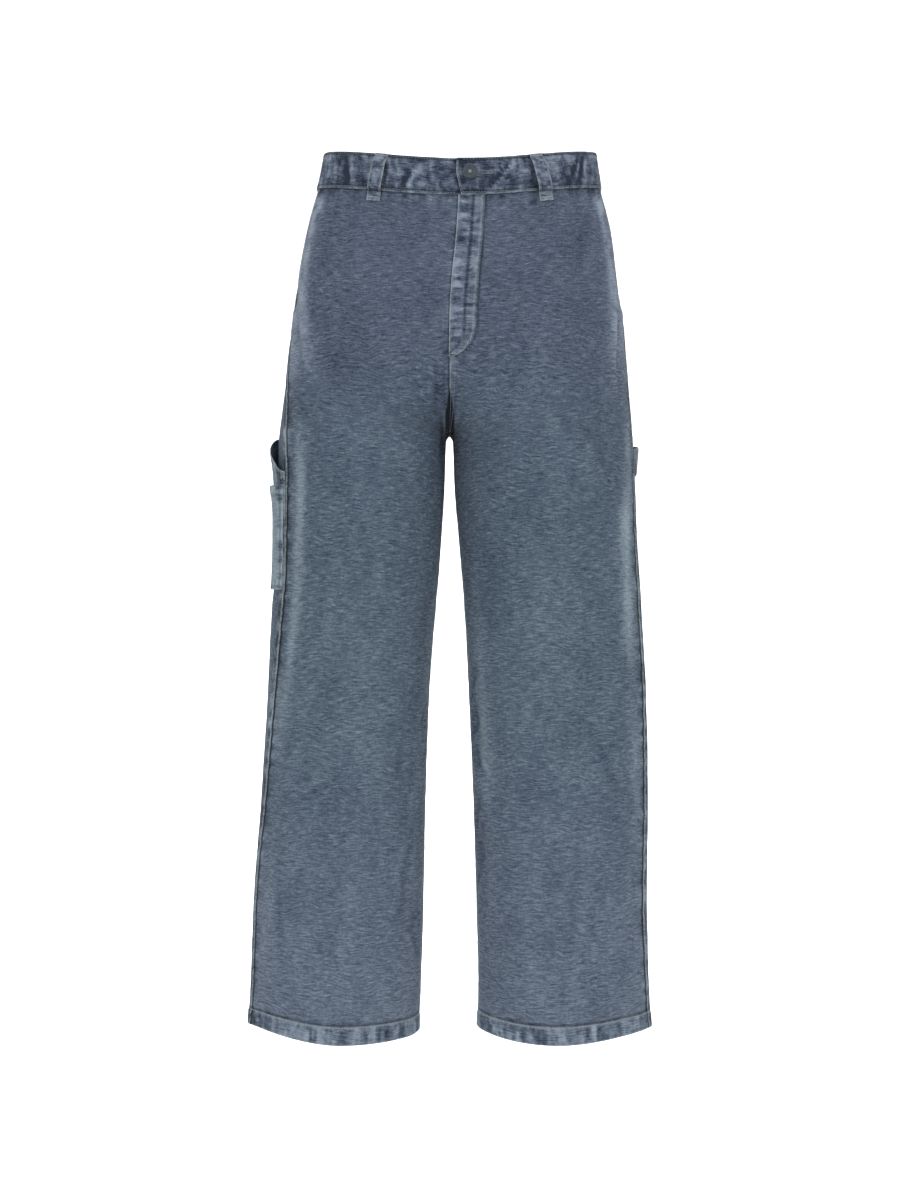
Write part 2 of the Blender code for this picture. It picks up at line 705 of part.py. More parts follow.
POCKET_STOPS = (0.0, TOOL_SEWN_TO_LAP, 0.13, 0.25, 0.38, 0.52, 0.66, 0.79, 0.90, 1.0)


def make_tool_pocket():
    """The long pocket whose slanted mouth stands open beside the side seam."""
    rows = (0.0, 0.06, 0.14, 0.24, 0.36, 0.50, 0.66, 0.82, 1.0)

    def place(column, row, inside):
        part = POCKET_STOPS[column]
        mouth = tool_mouth(part)
        drop = mouth + (TOOL_FOOT - mouth) * rows[row]
        turn = behind_seam(RIGHT, 0.0005 + TOOL_WIDTH * part, drop)
        lift = pocket_lift(part, drop - mouth)
        return on_cloth(RIGHT, turn, drop, lift + (0.0 if inside else POCKET_CLOTH))

    return wall("tool_pocket", len(POCKET_STOPS) - 1, len(rows) - 1, place, CANVAS_FRONT)


def make_tool_slot():
    """The shorter pocket laid on the tool pocket."""
    rows = (0.0, 0.10, 0.30, 0.55, 0.80, 1.0)

    def place(column, row, inside):
        part = POCKET_STOPS[column]
        drop = SLOT_MOUTH + (TOOL_FOOT - SLOT_MOUTH) * rows[row]
        turn = behind_seam(RIGHT, 0.0005 + TOOL_WIDTH * part, drop)
        gape = SLOT_GAPE * math.sin(math.pi * part) * (1.0 - rows[row]) ** 2
        lift = pocket_lift(part, drop - tool_mouth(part)) + POCKET_CLOTH + LAY_GAP + gape
        return on_cloth(RIGHT, turn, drop, lift + (0.0 if inside else POCKET_CLOTH))

    return wall("tool_slot", len(POCKET_STOPS) - 1, len(rows) - 1, place, CANVAS_WORN)


def make_hammer_loop():
    """The strap that bows out behind the wearer's left side seam."""
    path = (0.0, 0.05, 0.11, 0.20, 0.35, 0.50, 0.65, 0.80, 0.89, 0.95, 1.0)
    rows = 2

    def place(column, row, inside):
        part = path[column]
        distance = 0.0015 + HAMMER_LENGTH * part
        bow = math.sin(math.pi * min(max((part - 0.05) / 0.90, 0.0), 1.0)) ** 1.2
        on_lap = LAP_RAISE if distance < LAP_WIDTH + 0.004 else 0.0
        lift = LAY_GAP + on_lap + HAMMER_STANDS * bow
        drop = HAMMER_DROP - 0.012 * part + HAMMER_HEIGHT * row / rows
        turn = behind_seam(LEFT, distance, drop)
        return on_cloth(LEFT, turn, drop, lift + (0.0 if inside else LOOP_CLOTH))

    return wall("hammer_loop", len(path) - 1, rows, place, CANVAS_WORN)


def main():
    for side in (RIGHT, LEFT):
        make_front(side)
        make_back(side)
        make_pocket_facing(side)
    make_waistband()
    make_fly()
    make_button()
    belt_loops = (
        ("belt_loop_front_right", -0.0894, -0.004),
        ("belt_loop_front_left", 0.0863, 0.010),
        ("belt_loop_side_right", -0.278, 0.0),
        ("belt_loop_side_left", 0.278, 0.0),
        ("belt_loop_back", HALF_WAIST[LEFT], 0.0),
    )
    for name, arc, lean in belt_loops:
        make_belt_loop(name, arc, lean)
    make_tool_pocket()
    make_tool_slot()
    make_hammer_loop()


main()
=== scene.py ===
"""Wide carpenter pants in washed canvas, filled out as worn, with nobody in them.

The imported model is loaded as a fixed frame, and every soft part is sewn again over
it: panels with their folds and puckers, felled seams, a waistband, a fly, pockets,
loops, thread and a button. Metres, +Z up, the wearer faces -Y and the wearer's left
is +X. A place on the cloth is named by its side, its turn (0 at the centre front or
the inseam, 0.5 at the side seam, 1 at the centre back or the inseam again) and its
drop, the distance below the waistband's top edge.
"""

import math

import bmesh
import bpy
import numpy as np
from bpy.props import FloatProperty, FloatVectorProperty, PointerProperty
from mathutils import Matrix, Vector


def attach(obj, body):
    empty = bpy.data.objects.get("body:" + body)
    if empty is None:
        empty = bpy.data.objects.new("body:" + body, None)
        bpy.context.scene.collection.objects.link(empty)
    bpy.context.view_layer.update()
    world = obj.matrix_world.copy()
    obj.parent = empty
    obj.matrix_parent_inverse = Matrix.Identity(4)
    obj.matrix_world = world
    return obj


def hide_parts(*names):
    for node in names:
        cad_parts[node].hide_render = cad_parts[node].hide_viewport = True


bl_info = {
    "name": "Carpenter pants",
    "version": (1, 0, 0),
    "blender": (4, 5, 0),
    "location": "3D View > Sidebar > Pants",
    "description": "Sews washed canvas carpenter pants over a packed model",
    "category": "Add Mesh",
}

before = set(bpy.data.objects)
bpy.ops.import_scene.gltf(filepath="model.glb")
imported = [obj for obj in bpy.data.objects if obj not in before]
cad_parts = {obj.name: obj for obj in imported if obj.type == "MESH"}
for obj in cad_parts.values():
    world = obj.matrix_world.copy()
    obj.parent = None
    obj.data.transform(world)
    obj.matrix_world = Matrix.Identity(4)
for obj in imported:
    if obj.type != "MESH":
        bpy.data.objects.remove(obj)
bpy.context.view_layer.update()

# Sizes, those of the solids but for the line of the slant pockets' mouths
BAND_TOP = 0.0196
BAND_HEIGHT = 0.0414
CROTCH_Z = -0.304
CROTCH_X = -0.0140
FRONT_RISE_CURVE = 0.080
BACK_RISE_CURVE = 0.165
HEM_Z = -0.985
FRONT_DIP = 0.024
BACK_CLIMB = 0.014
DIP_ENDS_Z = -0.215
MOUTH_TOP = 0.068
MOUTH_FOOT = 0.036
MOUTH_DROP = 0.189
LAP_WIDTH = 0.0098
FLY_WIDTH = 0.029
FLY_DROP = 0.2455
FLY_CURVE = 0.037
BUTTON_RADIUS = 0.0085
BUTTON_THICK = 0.0032
HOLE_RADIUS = 0.00085
BUTTON_ARC = 0.0112
BUTTON_DROP = 0.0166
UNDERLAP = 0.034
BAND_STEP_OUT = 0.0016
BAND_STEP_IN = 0.0017
BAND_STEP_LENGTH = 0.030
BAND_FACE = 0.001
LOOP_WIDTH = 0.0152
LOOP_BELOW_BAND = 0.013
LOOP_STANDS = 0.0058
LOOP_CLOTH = 0.0018
TOOL_WIDTH = 0.096
TOOL_MOUTH_FRONT = 0.3685
TOOL_MOUTH_BACK = 0.326
TOOL_FOOT = 0.5014
TOOL_GAPE = 0.0078
TOOL_GAPE_LEAN = 0.6
TOOL_GAPE_DEPTH = 0.10
SLOT_MOUTH = 0.383
SLOT_GAPE = 0.0020
HAMMER_LENGTH = 0.112
HAMMER_HEIGHT = 0.032
HAMMER_DROP = 0.341
HAMMER_STANDS = 0.0080
LAY_GAP = 0.0006
TRUNK_ROUNDNESS = 2.35
LEG_ROUNDNESS = 2.25
HEM_SLOPE_TOP = -0.80
HEM_FRONT = -0.0076
HEM_BACK = -0.0040

RIGHT, LEFT = -1, 1
SIDE_NAMES = {RIGHT: "right", LEFT: "left"}
HEM_SIDES = {RIGHT: (0.0090, -0.0010), LEFT: (0.0050, 0.0040)}

# Rows of stitches, by their distance from the edge that they hold
LAP_ROWS = (0.0012, 0.0080)
CENTRE_ROWS = (0.0016, 0.0060)
SEAT_ROWS = (0.0016, 0.0074)
MOUTH_ROWS = (0.0018, 0.0080)
BAND_ROWS = (0.0022, BAND_HEIGHT - 0.0024)
FLY_ROWS = (0.0012, 0.0066)
TOOL_ROWS = (0.0018, 0.0086)
SLOT_ROWS = (0.0018, 0.0102)
LOOP_ROWS = (-0.37, 0.37)
HEM_STITCH = 0.0185

# Layers, one on another
LAP_LIFT = 0.0011
CLOTH_LIFT = 0.0015
THREAD_DENT = 0.0003
SIDE_GAP = 0.0005
HAMMER_START = 0.0015
HAMMER_RISE = 0.012
HAMMER_TAPER = 0.62

# Thickness of what is sewn on, and how deep a pocket's facing lies
BAND_THICK = 0.0026
STRAP_THICK = 0.0016
POCKET_THICK = 0.0012
FACING_THICK = 0.0011
FLY_THICK = 0.0010
FACING_LIFT = -0.0021
CAMERA_PLACE = (-0.0138, -2.6, -0.4928)


def table(columns, *rows):
    """A named-column table: the first column is what the rest are looked up by."""
    return {name: [row[i] for row in rows] for i, name in enumerate(columns)}


TRUNK = table(
    ("z", "right", "left", "front", "back", "right_seam", "left_seam", "centre_front", "centre_back"),
    (0.030, -0.1560, 0.1530, 0.100, 0.106, 0.036, 0.036, -0.0026, -0.0030),
    (0.000, -0.1610, 0.1560, 0.102, 0.110, 0.036, 0.036, -0.0030, -0.0034),
    (-0.022, -0.1665, 0.1595, 0.105, 0.118, 0.036, 0.036, -0.0036, -0.0040),
    (-0.075, -0.1794, 0.1714, 0.112, 0.136, 0.028, 0.028, -0.0066, -0.0056),
    (-0.130, -0.1886, 0.1783, 0.116, 0.151, 0.012, 0.014, -0.0112, -0.0080),
    (-0.185, -0.1950, 0.1853, 0.118, 0.158, -0.012, -0.006, -0.0136, -0.0108),
    (-0.240, -0.2016, 0.1890, 0.117, 0.155, -0.034, -0.018, -0.0142, -0.0132),
    (-0.304, -0.2090, 0.1943, 0.112, 0.142, -0.054, -0.024, -0.0144, -0.0144),
)
LEG_RIGHT = table(
    ("z", "outer", "inner", "front", "back", "seam"),
    (-0.139, -0.1900, -0.0144, 0.116, 0.151, 0.008),
    (-0.196, -0.1970, -0.0144, 0.112, 0.146, -0.016),
    (-0.304, -0.2090, -0.0144, 0.104, 0.129, -0.055),
    (-0.310, -0.2096, -0.0182, 0.103, 0.128, -0.056),
    (-0.360, -0.2106, -0.0197, 0.098, 0.118, -0.056),
    (-0.415, -0.2128, -0.0230, 0.093, 0.109, -0.055),
    (-0.470, -0.2146, -0.0270, 0.088, 0.102, -0.053),
    (-0.498, -0.2176, -0.0296, 0.086, 0.098, -0.052),
    (-0.608, -0.2243, -0.0378, 0.079, 0.087, -0.043),
    (-0.719, -0.2312, -0.0416, 0.075, 0.082, -0.035),
    (-0.829, -0.2390, -0.0438, 0.072, 0.079, -0.027),
    (-0.940, -0.2428, -0.0472, 0.070, 0.076, -0.025),
    (-1.000, -0.2462, -0.0505, 0.070, 0.075, -0.025),
)
LEG_LEFT = table(
    ("z", "outer", "inner", "front", "back", "seam"),
    (-0.139, 0.1800, -0.0144, 0.116, 0.151, 0.010),
    (-0.196, 0.1862, -0.0144, 0.112, 0.146, -0.008),
    (-0.304, 0.1943, -0.0144, 0.104, 0.129, -0.024),
    (-0.310, 0.1949, -0.0106, 0.103, 0.128, -0.025),
    (-0.360, 0.1974, -0.0090, 0.098, 0.118, -0.026),
    (-0.415, 0.2004, -0.0046, 0.093, 0.109, -0.033),
    (-0.498, 0.2059, 0.0023, 0.086, 0.098, -0.034),
    (-0.608, 0.2126, 0.0081, 0.079, 0.087, -0.033),
    (-0.719, 0.2139, 0.0127, 0.075, 0.082, -0.031),
    (-0.829, 0.2130, 0.0160, 0.072, 0.079, -0.032),
    (-0.940, 0.2151, 0.0184, 0.070, 0.076, -0.027),
    (-1.000, 0.2172, 0.0174, 0.070, 0.075, -0.024),
)
LEGS = {RIGHT: LEG_RIGHT, LEFT: LEG_LEFT}

# Soft folds that the solids have too: leg, turn, drop, width, length, slant, height
FOLDS = (
    (RIGHT, 0.045, 0.655, 0.012, 0.030, 0.9, -0.0050),
    (RIGHT, 0.085, 0.672, 0.010, 0.026, 1.2, 0.0030),
    (RIGHT, 0.330, 0.730, 0.016, 0.030, -1.0, -0.0030),
    (RIGHT, 0.400, 0.470, 0.024, 0.120, 0.1, 0.0035),
    (RIGHT, 0.250, 0.360, 0.040, 0.120, 0.1, 0.0025),
    (RIGHT, 0.060, 0.330, 0.012, 0.050, 0.5, -0.0024),
    (RIGHT, 0.120, 0.300, 0.016, 0.055, 0.4, 0.0025),
    (RIGHT, 0.900, 0.390, 0.018, 0.024, -2.6, -0.0060),
    (RIGHT, 0.820, 0.440, 0.022, 0.030, -1.8, 0.0040),
    (RIGHT, 0.760, 0.660, 0.020, 0.026, 2.0, -0.0055),
    (RIGHT, 0.700, 0.700, 0.020, 0.030, 1.6, 0.0035),
    (RIGHT, 0.880, 0.760, 0.016, 0.040, 1.0, -0.0040),
    (LEFT, 0.050, 0.640, 0.012, 0.034, 0.8, -0.0050),
    (LEFT, 0.075, 0.720, 0.011, 0.040, 0.8, 0.0030),
    (LEFT, 0.060, 0.790, 0.012, 0.036, 0.6, -0.0040),
    (LEFT, 0.410, 0.520, 0.024, 0.140, -0.1, 0.0035),
    (LEFT, 0.240, 0.380, 0.040, 0.120, -0.1, 0.0025),
    (LEFT, 0.060, 0.330, 0.012, 0.050, 0.5, -0.0012),
    (LEFT, 0.115, 0.300, 0.016, 0.055, 0.4, 0.0010),
    (LEFT, 0.905, 0.395, 0.018, 0.026, -2.4, -0.0060),
    (LEFT, 0.830, 0.450, 0.022, 0.030, -1.8, 0.0040),
    (LEFT, 0.750, 0.650, 0.020, 0.026, 2.2, -0.0050),
    (LEFT, 0.690, 0.705, 0.020, 0.030, 1.4, 0.0035),
    (LEFT, 0.870, 0.800, 0.016, 0.040, 1.2, -0.0035),
)
CLOTH_ACROSS_A_TURN = 0.60
CRUMPLE = 0.00016

# Sharper creases that only the cloth shows: leg, turn, drop, half width and half
# length in metres, lean from upright in degrees, depth
CREASES = (
    (RIGHT, 0.018, 0.285, 0.0030, 0.032, 4, -0.0016),
    (RIGHT, 0.040, 0.272, 0.0045, 0.026, 14, -0.0012),
    (RIGHT, 0.030, 0.348, 0.0040, 0.030, -8, -0.0014),
    (RIGHT, 0.062, 0.640, 0.0050, 0.024, 40, -0.0020),
    (RIGHT, 0.050, 0.690, 0.0040, 0.018, 55, -0.0014),
    (RIGHT, 0.350, 0.728, 0.0050, 0.020, 68, -0.0010),
    (RIGHT, 0.110, 0.820, 0.0070, 0.050, 12, -0.0014),
    (RIGHT, 0.070, 0.905, 0.0050, 0.030, -20, -0.0012),
    (RIGHT, 0.410, 0.860, 0.0060, 0.060, -6, -0.0012),
    (RIGHT, 0.300, 0.120, 0.0090, 0.040, 20, -0.0010),
    (RIGHT, 0.720, 0.250, 0.0060, 0.050, 60, -0.0016),
    (RIGHT, 0.860, 0.330, 0.0050, 0.040, 48, -0.0022),
    (RIGHT, 0.900, 0.350, 0.0040, 0.030, 30, -0.0018),
    (RIGHT, 0.780, 0.620, 0.0050, 0.035, 66, -0.0022),
    (RIGHT, 0.720, 0.650, 0.0050, 0.040, -62, -0.0020),
    (RIGHT, 0.840, 0.690, 0.0045, 0.030, -55, -0.0016),
    (RIGHT, 0.660, 0.600, 0.0060, 0.030, 75, -0.0014),
    (RIGHT, 0.600, 0.880, 0.0070, 0.045, 10, -0.0014),
    (LEFT, 0.018, 0.290, 0.0030, 0.030, -4, -0.0014),
    (LEFT, 0.045, 0.300, 0.0045, 0.028, -16, -0.0012),
    (LEFT, 0.028, 0.350, 0.0040, 0.030, 8, -0.0014),
    (LEFT, 0.055, 0.610, 0.0045, 0.022, -48, -0.0018),
    (LEFT, 0.045, 0.668, 0.0045, 0.024, -36, -0.0018),
    (LEFT, 0.080, 0.700, 0.0050, 0.026, 30, -0.0014),
    (LEFT, 0.050, 0.760, 0.0045, 0.024, -40, -0.0016),
    (LEFT, 0.045, 0.830, 0.0050, 0.030, -26, -0.0014),
    (LEFT, 0.380, 0.690, 0.0070, 0.040, 24, -0.0010),
    (LEFT, 0.300, 0.860, 0.0070, 0.050, -10, -0.0010),
    (LEFT, 0.280, 0.110, 0.0090, 0.040, -16, -0.0010),
    (LEFT, 0.730, 0.260, 0.0060, 0.050, -58, -0.0016),
    (LEFT, 0.870, 0.340, 0.0050, 0.040, -46, -0.0022),
    (LEFT, 0.905, 0.360, 0.0040, 0.030, -30, -0.0018),
    (LEFT, 0.770, 0.610, 0.0050, 0.035, -64, -0.0022),
    (LEFT, 0.720, 0.660, 0.0050, 0.040, 60, -0.0020),
    (LEFT, 0.850, 0.700, 0.0045, 0.030, 52, -0.0016),
    (LEFT, 0.650, 0.590, 0.0060, 0.030, -74, -0.0014),
    (LEFT, 0.610, 0.870, 0.0070, 0.045, -10, -0.0014),
    (LEFT, 0.405, 0.205, 0.0034, 0.050, 4, 0.0026),
    (RIGHT, 0.400, 0.190, 0.0050, 0.060, -4, 0.0016),
)

# Broad pale patches, painted highlight where the legs turn to their sides and along the inner knees, partly
# rubbed wear: leg, turn, drop, half width, half length, lightness
HIGHLIGHTS_AND_RUBS = (
    (RIGHT, 0.449, 0.400, 0.011, 0.085, 0.80),
    (RIGHT, 0.452, 0.540, 0.011, 0.070, 0.66),
    (RIGHT, 0.460, 0.640, 0.010, 0.060, 0.36),
    (RIGHT, 0.455, 0.850, 0.012, 0.060, 0.28),
    (RIGHT, 0.250, 0.560, 0.050, 0.120, 0.08),
    (LEFT, 0.462, 0.340, 0.010, 0.040, 0.50),
    (LEFT, 0.452, 0.430, 0.014, 0.045, 0.90),
    (LEFT, 0.450, 0.520, 0.013, 0.060, 0.95),
    (LEFT, 0.460, 0.690, 0.013, 0.090, 0.32),
    (LEFT, 0.095, 0.640, 0.014, 0.110, 0.58),
    (LEFT, 0.250, 0.600, 0.050, 0.120, 0.06),
    (RIGHT, 0.062, 0.560, 0.014, 0.160, 0.16),
    (RIGHT, 0.090, 0.760, 0.014, 0.090, 0.22),
    (RIGHT, 0.620, 0.480, 0.030, 0.120, 0.30),
    (LEFT, 0.620, 0.480, 0.030, 0.120, 0.30),
    (RIGHT, 0.780, 0.200, 0.060, 0.070, 0.30),
    (LEFT, 0.780, 0.200, 0.060, 0.070, 0.30),
)

# How pale the cloth is, and how violet, from the waist to the hem
WASH = table(
    ("z", "tone", "violet"),
    (-0.00, -0.05, 0.60),
    (-0.10, -0.02, 0.75),
    (-0.22, -0.03, 0.60),
    (-0.30, -0.03, 0.15),
    (-0.48, 0.00, 0.00),
    (-0.60, 0.04, 0.00),
    (-0.72, 0.10, 0.20),
    (-0.86, 0.19, 0.50),
    (-0.96, 0.25, 0.50),
    (-1.01, 0.28, 0.40),
)

ARC_SAMPLES = 96
SHAPE_COLUMNS = 192
SHAPE_ROW_STEP = 0.004
PANEL_TOP = BAND_HEIGHT
PANEL_FOOT = BAND_TOP - HEM_Z
RISE_END = BAND_TOP - CROTCH_Z


def look_up(columns, name, z):
    """A value of a table at height z, on a smooth curve that never overshoots."""
    heights, values = columns["z"], columns[name]
    last = len(heights) - 1
    if z >= heights[0]:
        return values[0]
    if z <= heights[last]:
        return values[last]
    i = next(k for k in range(last) if heights[k + 1] <= z)
    run = heights[i + 1] - heights[i]
    part = (z - heights[i]) / run
    rates = [(values[k + 1] - values[k]) / (heights[k + 1] - heights[k]) for k in range(last)]

    def slope(k):
        if k in (0, last):
            return rates[min(k, last - 1)]
        if rates[k - 1] * rates[k] <= 0.0:
            return 0.0
        return 2.0 * rates[k - 1] * rates[k] / (rates[k - 1] + rates[k])

    square = part * part
    cube = square * part
    return (
        (2 * cube - 3 * square + 1) * values[i]
        + (cube - 2 * square + part) * run * slope(i)
        + (3 * square - 2 * cube) * values[i + 1]
        + (cube - square) * run * slope(i + 1)
    )


def smooth_step(part):
    """From 0 to 1, level at both ends."""
    part = np.clip(part, 0.0, 1.0)
    return part * part * (3.0 - 2.0 * part)


def bump(distance, width):
    """A soft hill of height 1 that fades out over a width."""
    return np.exp(-((distance / width) ** 2))


def signed_power(value, power):
    return np.sign(value) * np.abs(value) ** power


def seam_angle(seam, front, back, power):
    """The angle from the front at which an oval has the side seam's depth."""
    if seam <= 0.0:
        return math.acos((-seam / front) ** (1.0 / power))
    return math.pi - math.acos((seam / back) ** (1.0 / power))


def evenly_spaced(points, count):
    """The points of a line, moved along it to lie at equal distances."""
    steps = np.linalg.norm(np.diff(points, axis=0), axis=1)
    along = np.concatenate(([0.0], np.cumsum(steps)))
    wanted = np.linspace(0.0, along[-1], count + 1)
    return np.stack([np.interp(wanted, along, points[:, k]) for k in (0, 1)], axis=1)


def two_arcs(points_at, start, seam, end):
    """A section's front arc and back arc, each evenly spaced, joined at the seam."""
    half = SHAPE_COLUMNS // 2
    front = points_at(np.linspace(start, seam, ARC_SAMPLES + 1))
    back = points_at(np.linspace(seam, end, ARC_SAMPLES + 1))
    return np.concatenate((evenly_spaced(front, half), evenly_spaced(back, half)[1:]))


def trunk_section(side, z):
    """Half the hips at one height, from centre front round to centre back."""
    name = SIDE_NAMES[side]
    outer, front, back = (look_up(TRUNK, key, z) for key in (name, "front", "back"))
    middle_front, middle_back = (look_up(TRUNK, key, z) for key in ("centre_front", "centre_back"))
    power = 2.0 / TRUNK_ROUNDNESS

    def points_at(angles):
        forward = np.cos(angles)
        middle = np.where(forward > 0, middle_front, middle_back)
        depth = np.where(forward > 0, front, back)
        x = middle + (outer - middle) * np.abs(np.sin(angles)) ** power
        return np.stack((x, -depth * signed_power(forward, power)), axis=1)

    seam = seam_angle(look_up(TRUNK, name + "_seam", z), front, back, power)
    return two_arcs(points_at, 0.0, seam, math.pi)


def leg_section(side, z):
    """All round one leg at one height, from the inseam past the front and back to it."""
    outer, inner, front, back = (look_up(LEGS[side], key, z) for key in ("outer", "inner", "front", "back"))
    power = 2.0 / LEG_ROUNDNESS

    def points_at(angles):
        forward = np.cos(angles)
        depth = np.where(forward > 0, front, back)
        x = (outer + inner) / 2 + (outer - inner) / 2 * signed_power(np.sin(angles), power)
        return np.stack((x, -depth * signed_power(forward, power)), axis=1)

    seam = seam_angle(look_up(LEGS[side], "seam", z), front, back, power)
    return two_arcs(points_at, -math.pi / 2, seam, 1.5 * math.pi)


def hem_curve(side, turn):
    """How far the hem rises or dips at each turn."""
    outside, inside = HEM_SIDES[side]
    sideways = np.sin(math.tau * (turn - 0.25))
    share = sideways ** 2
    middle = np.where(turn < 0.5, HEM_FRONT, HEM_BACK)
    return share * np.where(sideways > 0.0, outside, inside) + (1.0 - share) * middle


def shape_row(side, drop):
    """One row of the shape: the hips, the leg, or the hips turning into the leg."""
    z = BAND_TOP - drop
    turn = np.linspace(0.0, 1.0, SHAPE_COLUMNS + 1)
    curve = FRONT_RISE_CURVE + (BACK_RISE_CURVE - FRONT_RISE_CURVE) * smooth_step((turn - 0.3) / 0.4)
    part = np.clip((CROTCH_Z + curve - z) / curve, 0.0, 1.0)
    leg_share = (1.0 - np.cos(part * math.pi / 2))[:, None]
    flat = np.zeros((SHAPE_COLUMNS + 1, 2))
    if leg_share.min() < 1.0:
        flat += (1.0 - leg_share) * trunk_section(side, z)
    if leg_share.max() > 0.0:
        flat += leg_share * leg_section(side, z)
    centre = np.cos(math.pi * turn) ** 2
    heights = z + curve * (part - np.sin(part * math.pi / 2)) * centre
    fade = smooth_step((z - DIP_ENDS_Z) / (-DIP_ENDS_Z - BAND_HEIGHT / 2))
    heights += fade * centre * np.where(turn < 0.5, -FRONT_DIP, BACK_CLIMB)
    near_hem = min(max((HEM_SLOPE_TOP - z) / (HEM_SLOPE_TOP - HEM_Z), 0.0), 1.0) ** 2
    return np.column_stack((flat, heights + near_hem * hem_curve(side, turn)))


def unit(vectors):
    return vectors / np.maximum(np.linalg.norm(vectors, axis=-1, keepdims=True), 1e-9)


def work_out_half(side):
    """The plain shape of one half, its outward directions and its widths."""
    drops = np.arange(-0.008, PANEL_FOOT + 2.5 * SHAPE_ROW_STEP, SHAPE_ROW_STEP)
    points = np.stack([shape_row(side, drop) for drop in drops])
    normals = unit(np.cross(np.gradient(points, axis=0), np.gradient(points, axis=1)) * side)
    above_crotch = drops < RISE_END - 1e-6
    for column in (0, -1):
        normals[above_crotch, column, 0] = 0.0
    inseam = unit(normals[:, 0] + normals[:, -1])
    normals[~above_crotch, 0] = inseam[~above_crotch]
    normals[~above_crotch, -1] = inseam[~above_crotch]
    steps = np.linalg.norm(np.diff(points, axis=1), axis=2)
    half = SHAPE_COLUMNS // 2
    return {
        "drops": drops,
        "points": points,
        "normals": unit(normals),
        "front": steps[:, :half].sum(axis=1),
        "back": steps[:, half:].sum(axis=1),
    }


SHAPE = {side: work_out_half(side) for side in (RIGHT, LEFT)}


def arc(side, name, drop):
    """How wide the front or the back is across a row."""
    return np.interp(drop, SHAPE[side]["drops"], SHAPE[side][name])


def bare_cloth(side, turn, drop):
    """Points of the plain shape, and which way the cloth faces there."""
    shape = SHAPE[side]
    drops = shape["drops"]
    row = np.clip((drop - drops[0]) / SHAPE_ROW_STEP, 0.0, len(drops) - 1.001)
    column = np.clip(turn, 0.0, 1.0) * SHAPE_COLUMNS
    column = np.minimum(column, SHAPE_COLUMNS - 1e-6)
    i, j = row.astype(int), column.astype(int)
    a, b = (row - i)[..., None], (column - j)[..., None]

    def between(grid):
        above = grid[i, j] * (1 - b) + grid[i, j + 1] * b
        below = grid[i + 1, j] * (1 - b) + grid[i + 1, j + 1] * b
        return above * (1 - a) + below * a

    return between(shape["points"]), unit(between(shape["normals"]))


def turn_at(side, name, distance, drop):
    """The turn of a place at a distance from the inner edge, or from the side seam.

    A distance behind the side seam is above nothing, and one in front is below.
    """
    front, back = arc(side, "front", drop), arc(side, "back", drop)
    if name == "front":
        return 0.5 * distance / front
    return 0.5 + 0.5 * np.where(distance < 0.0, distance / front, distance / back)


def scatter(ix, iy, seed):
    """A fixed number from -1 to 1 for each whole-number place."""
    n = (ix * 374761393 + iy * 668265263 + seed * 1442695041) & 0xFFFFFFFF
    n = ((n ^ (n >> 13)) * 1274126177) & 0xFFFFFFFF
    return (n ^ (n >> 16)) / 2147483647.5 - 1.0


def noise(x, y, seed):
    """Smooth hills and hollows from -1 to 1, the same on each run."""
    ix, iy = np.floor(x).astype(np.int64), np.floor(y).astype(np.int64)
    a, b = smooth_step(x - ix), smooth_step(y - iy)
    top = scatter(ix, iy, seed) * (1 - a) + scatter(ix + 1, iy, seed) * a
    low = scatter(ix, iy + 1, seed) * (1 - a) + scatter(ix + 1, iy + 1, seed) * a
    return top * (1 - b) + low * b


def dents(distance, rows, width=0.0007):
    """Where rows of stitches lie, each a soft line of height 1."""
    return sum(bump(distance - row, width) for row in rows)


def rough(x, y, seed):
    """Noise with a finer one on it."""
    return 0.68 * noise(x, y, seed) + 0.32 * noise(2.1 * x + 5.3, 2.1 * y + 1.7, seed + 11)


def crease_heights(side, turn, drop):
    """Listed creases, each a trough with a softer ridge along one side."""
    heights = np.zeros_like(turn)
    for n, (leg, at, level, half_width, half_length, lean, depth) in enumerate(CREASES):
        if leg != side:
            continue
        across = (turn - at) * CLOTH_ACROSS_A_TURN
        down = drop - level
        lean = math.radians(lean)
        along = down * math.cos(lean) + across * math.sin(lean)
        aside = across * math.cos(lean) - down * math.sin(lean)
        aside = aside + 0.5 * half_width * noise(along / half_length * 2.2, 0.0 * along, 40 + n)
        trough, ridge = bump(aside, half_width), bump(aside - 1.9 * half_width, 1.2 * half_width)
        heights += depth * bump(along, half_length) * (trough - 0.6 * ridge)
    return heights


def seam_distances(side, turn, drop):
    """How far a place lies from the inner seam and from the side seam."""
    front, back = arc(side, "front", drop), arc(side, "back", drop)
    in_front = turn < 0.5
    inner = np.where(in_front, 2 * turn * front, 2 * (1 - turn) * back)
    outer = np.where(in_front, (1 - 2 * turn) * front, (2 * turn - 1) * back)
    return inner, outer


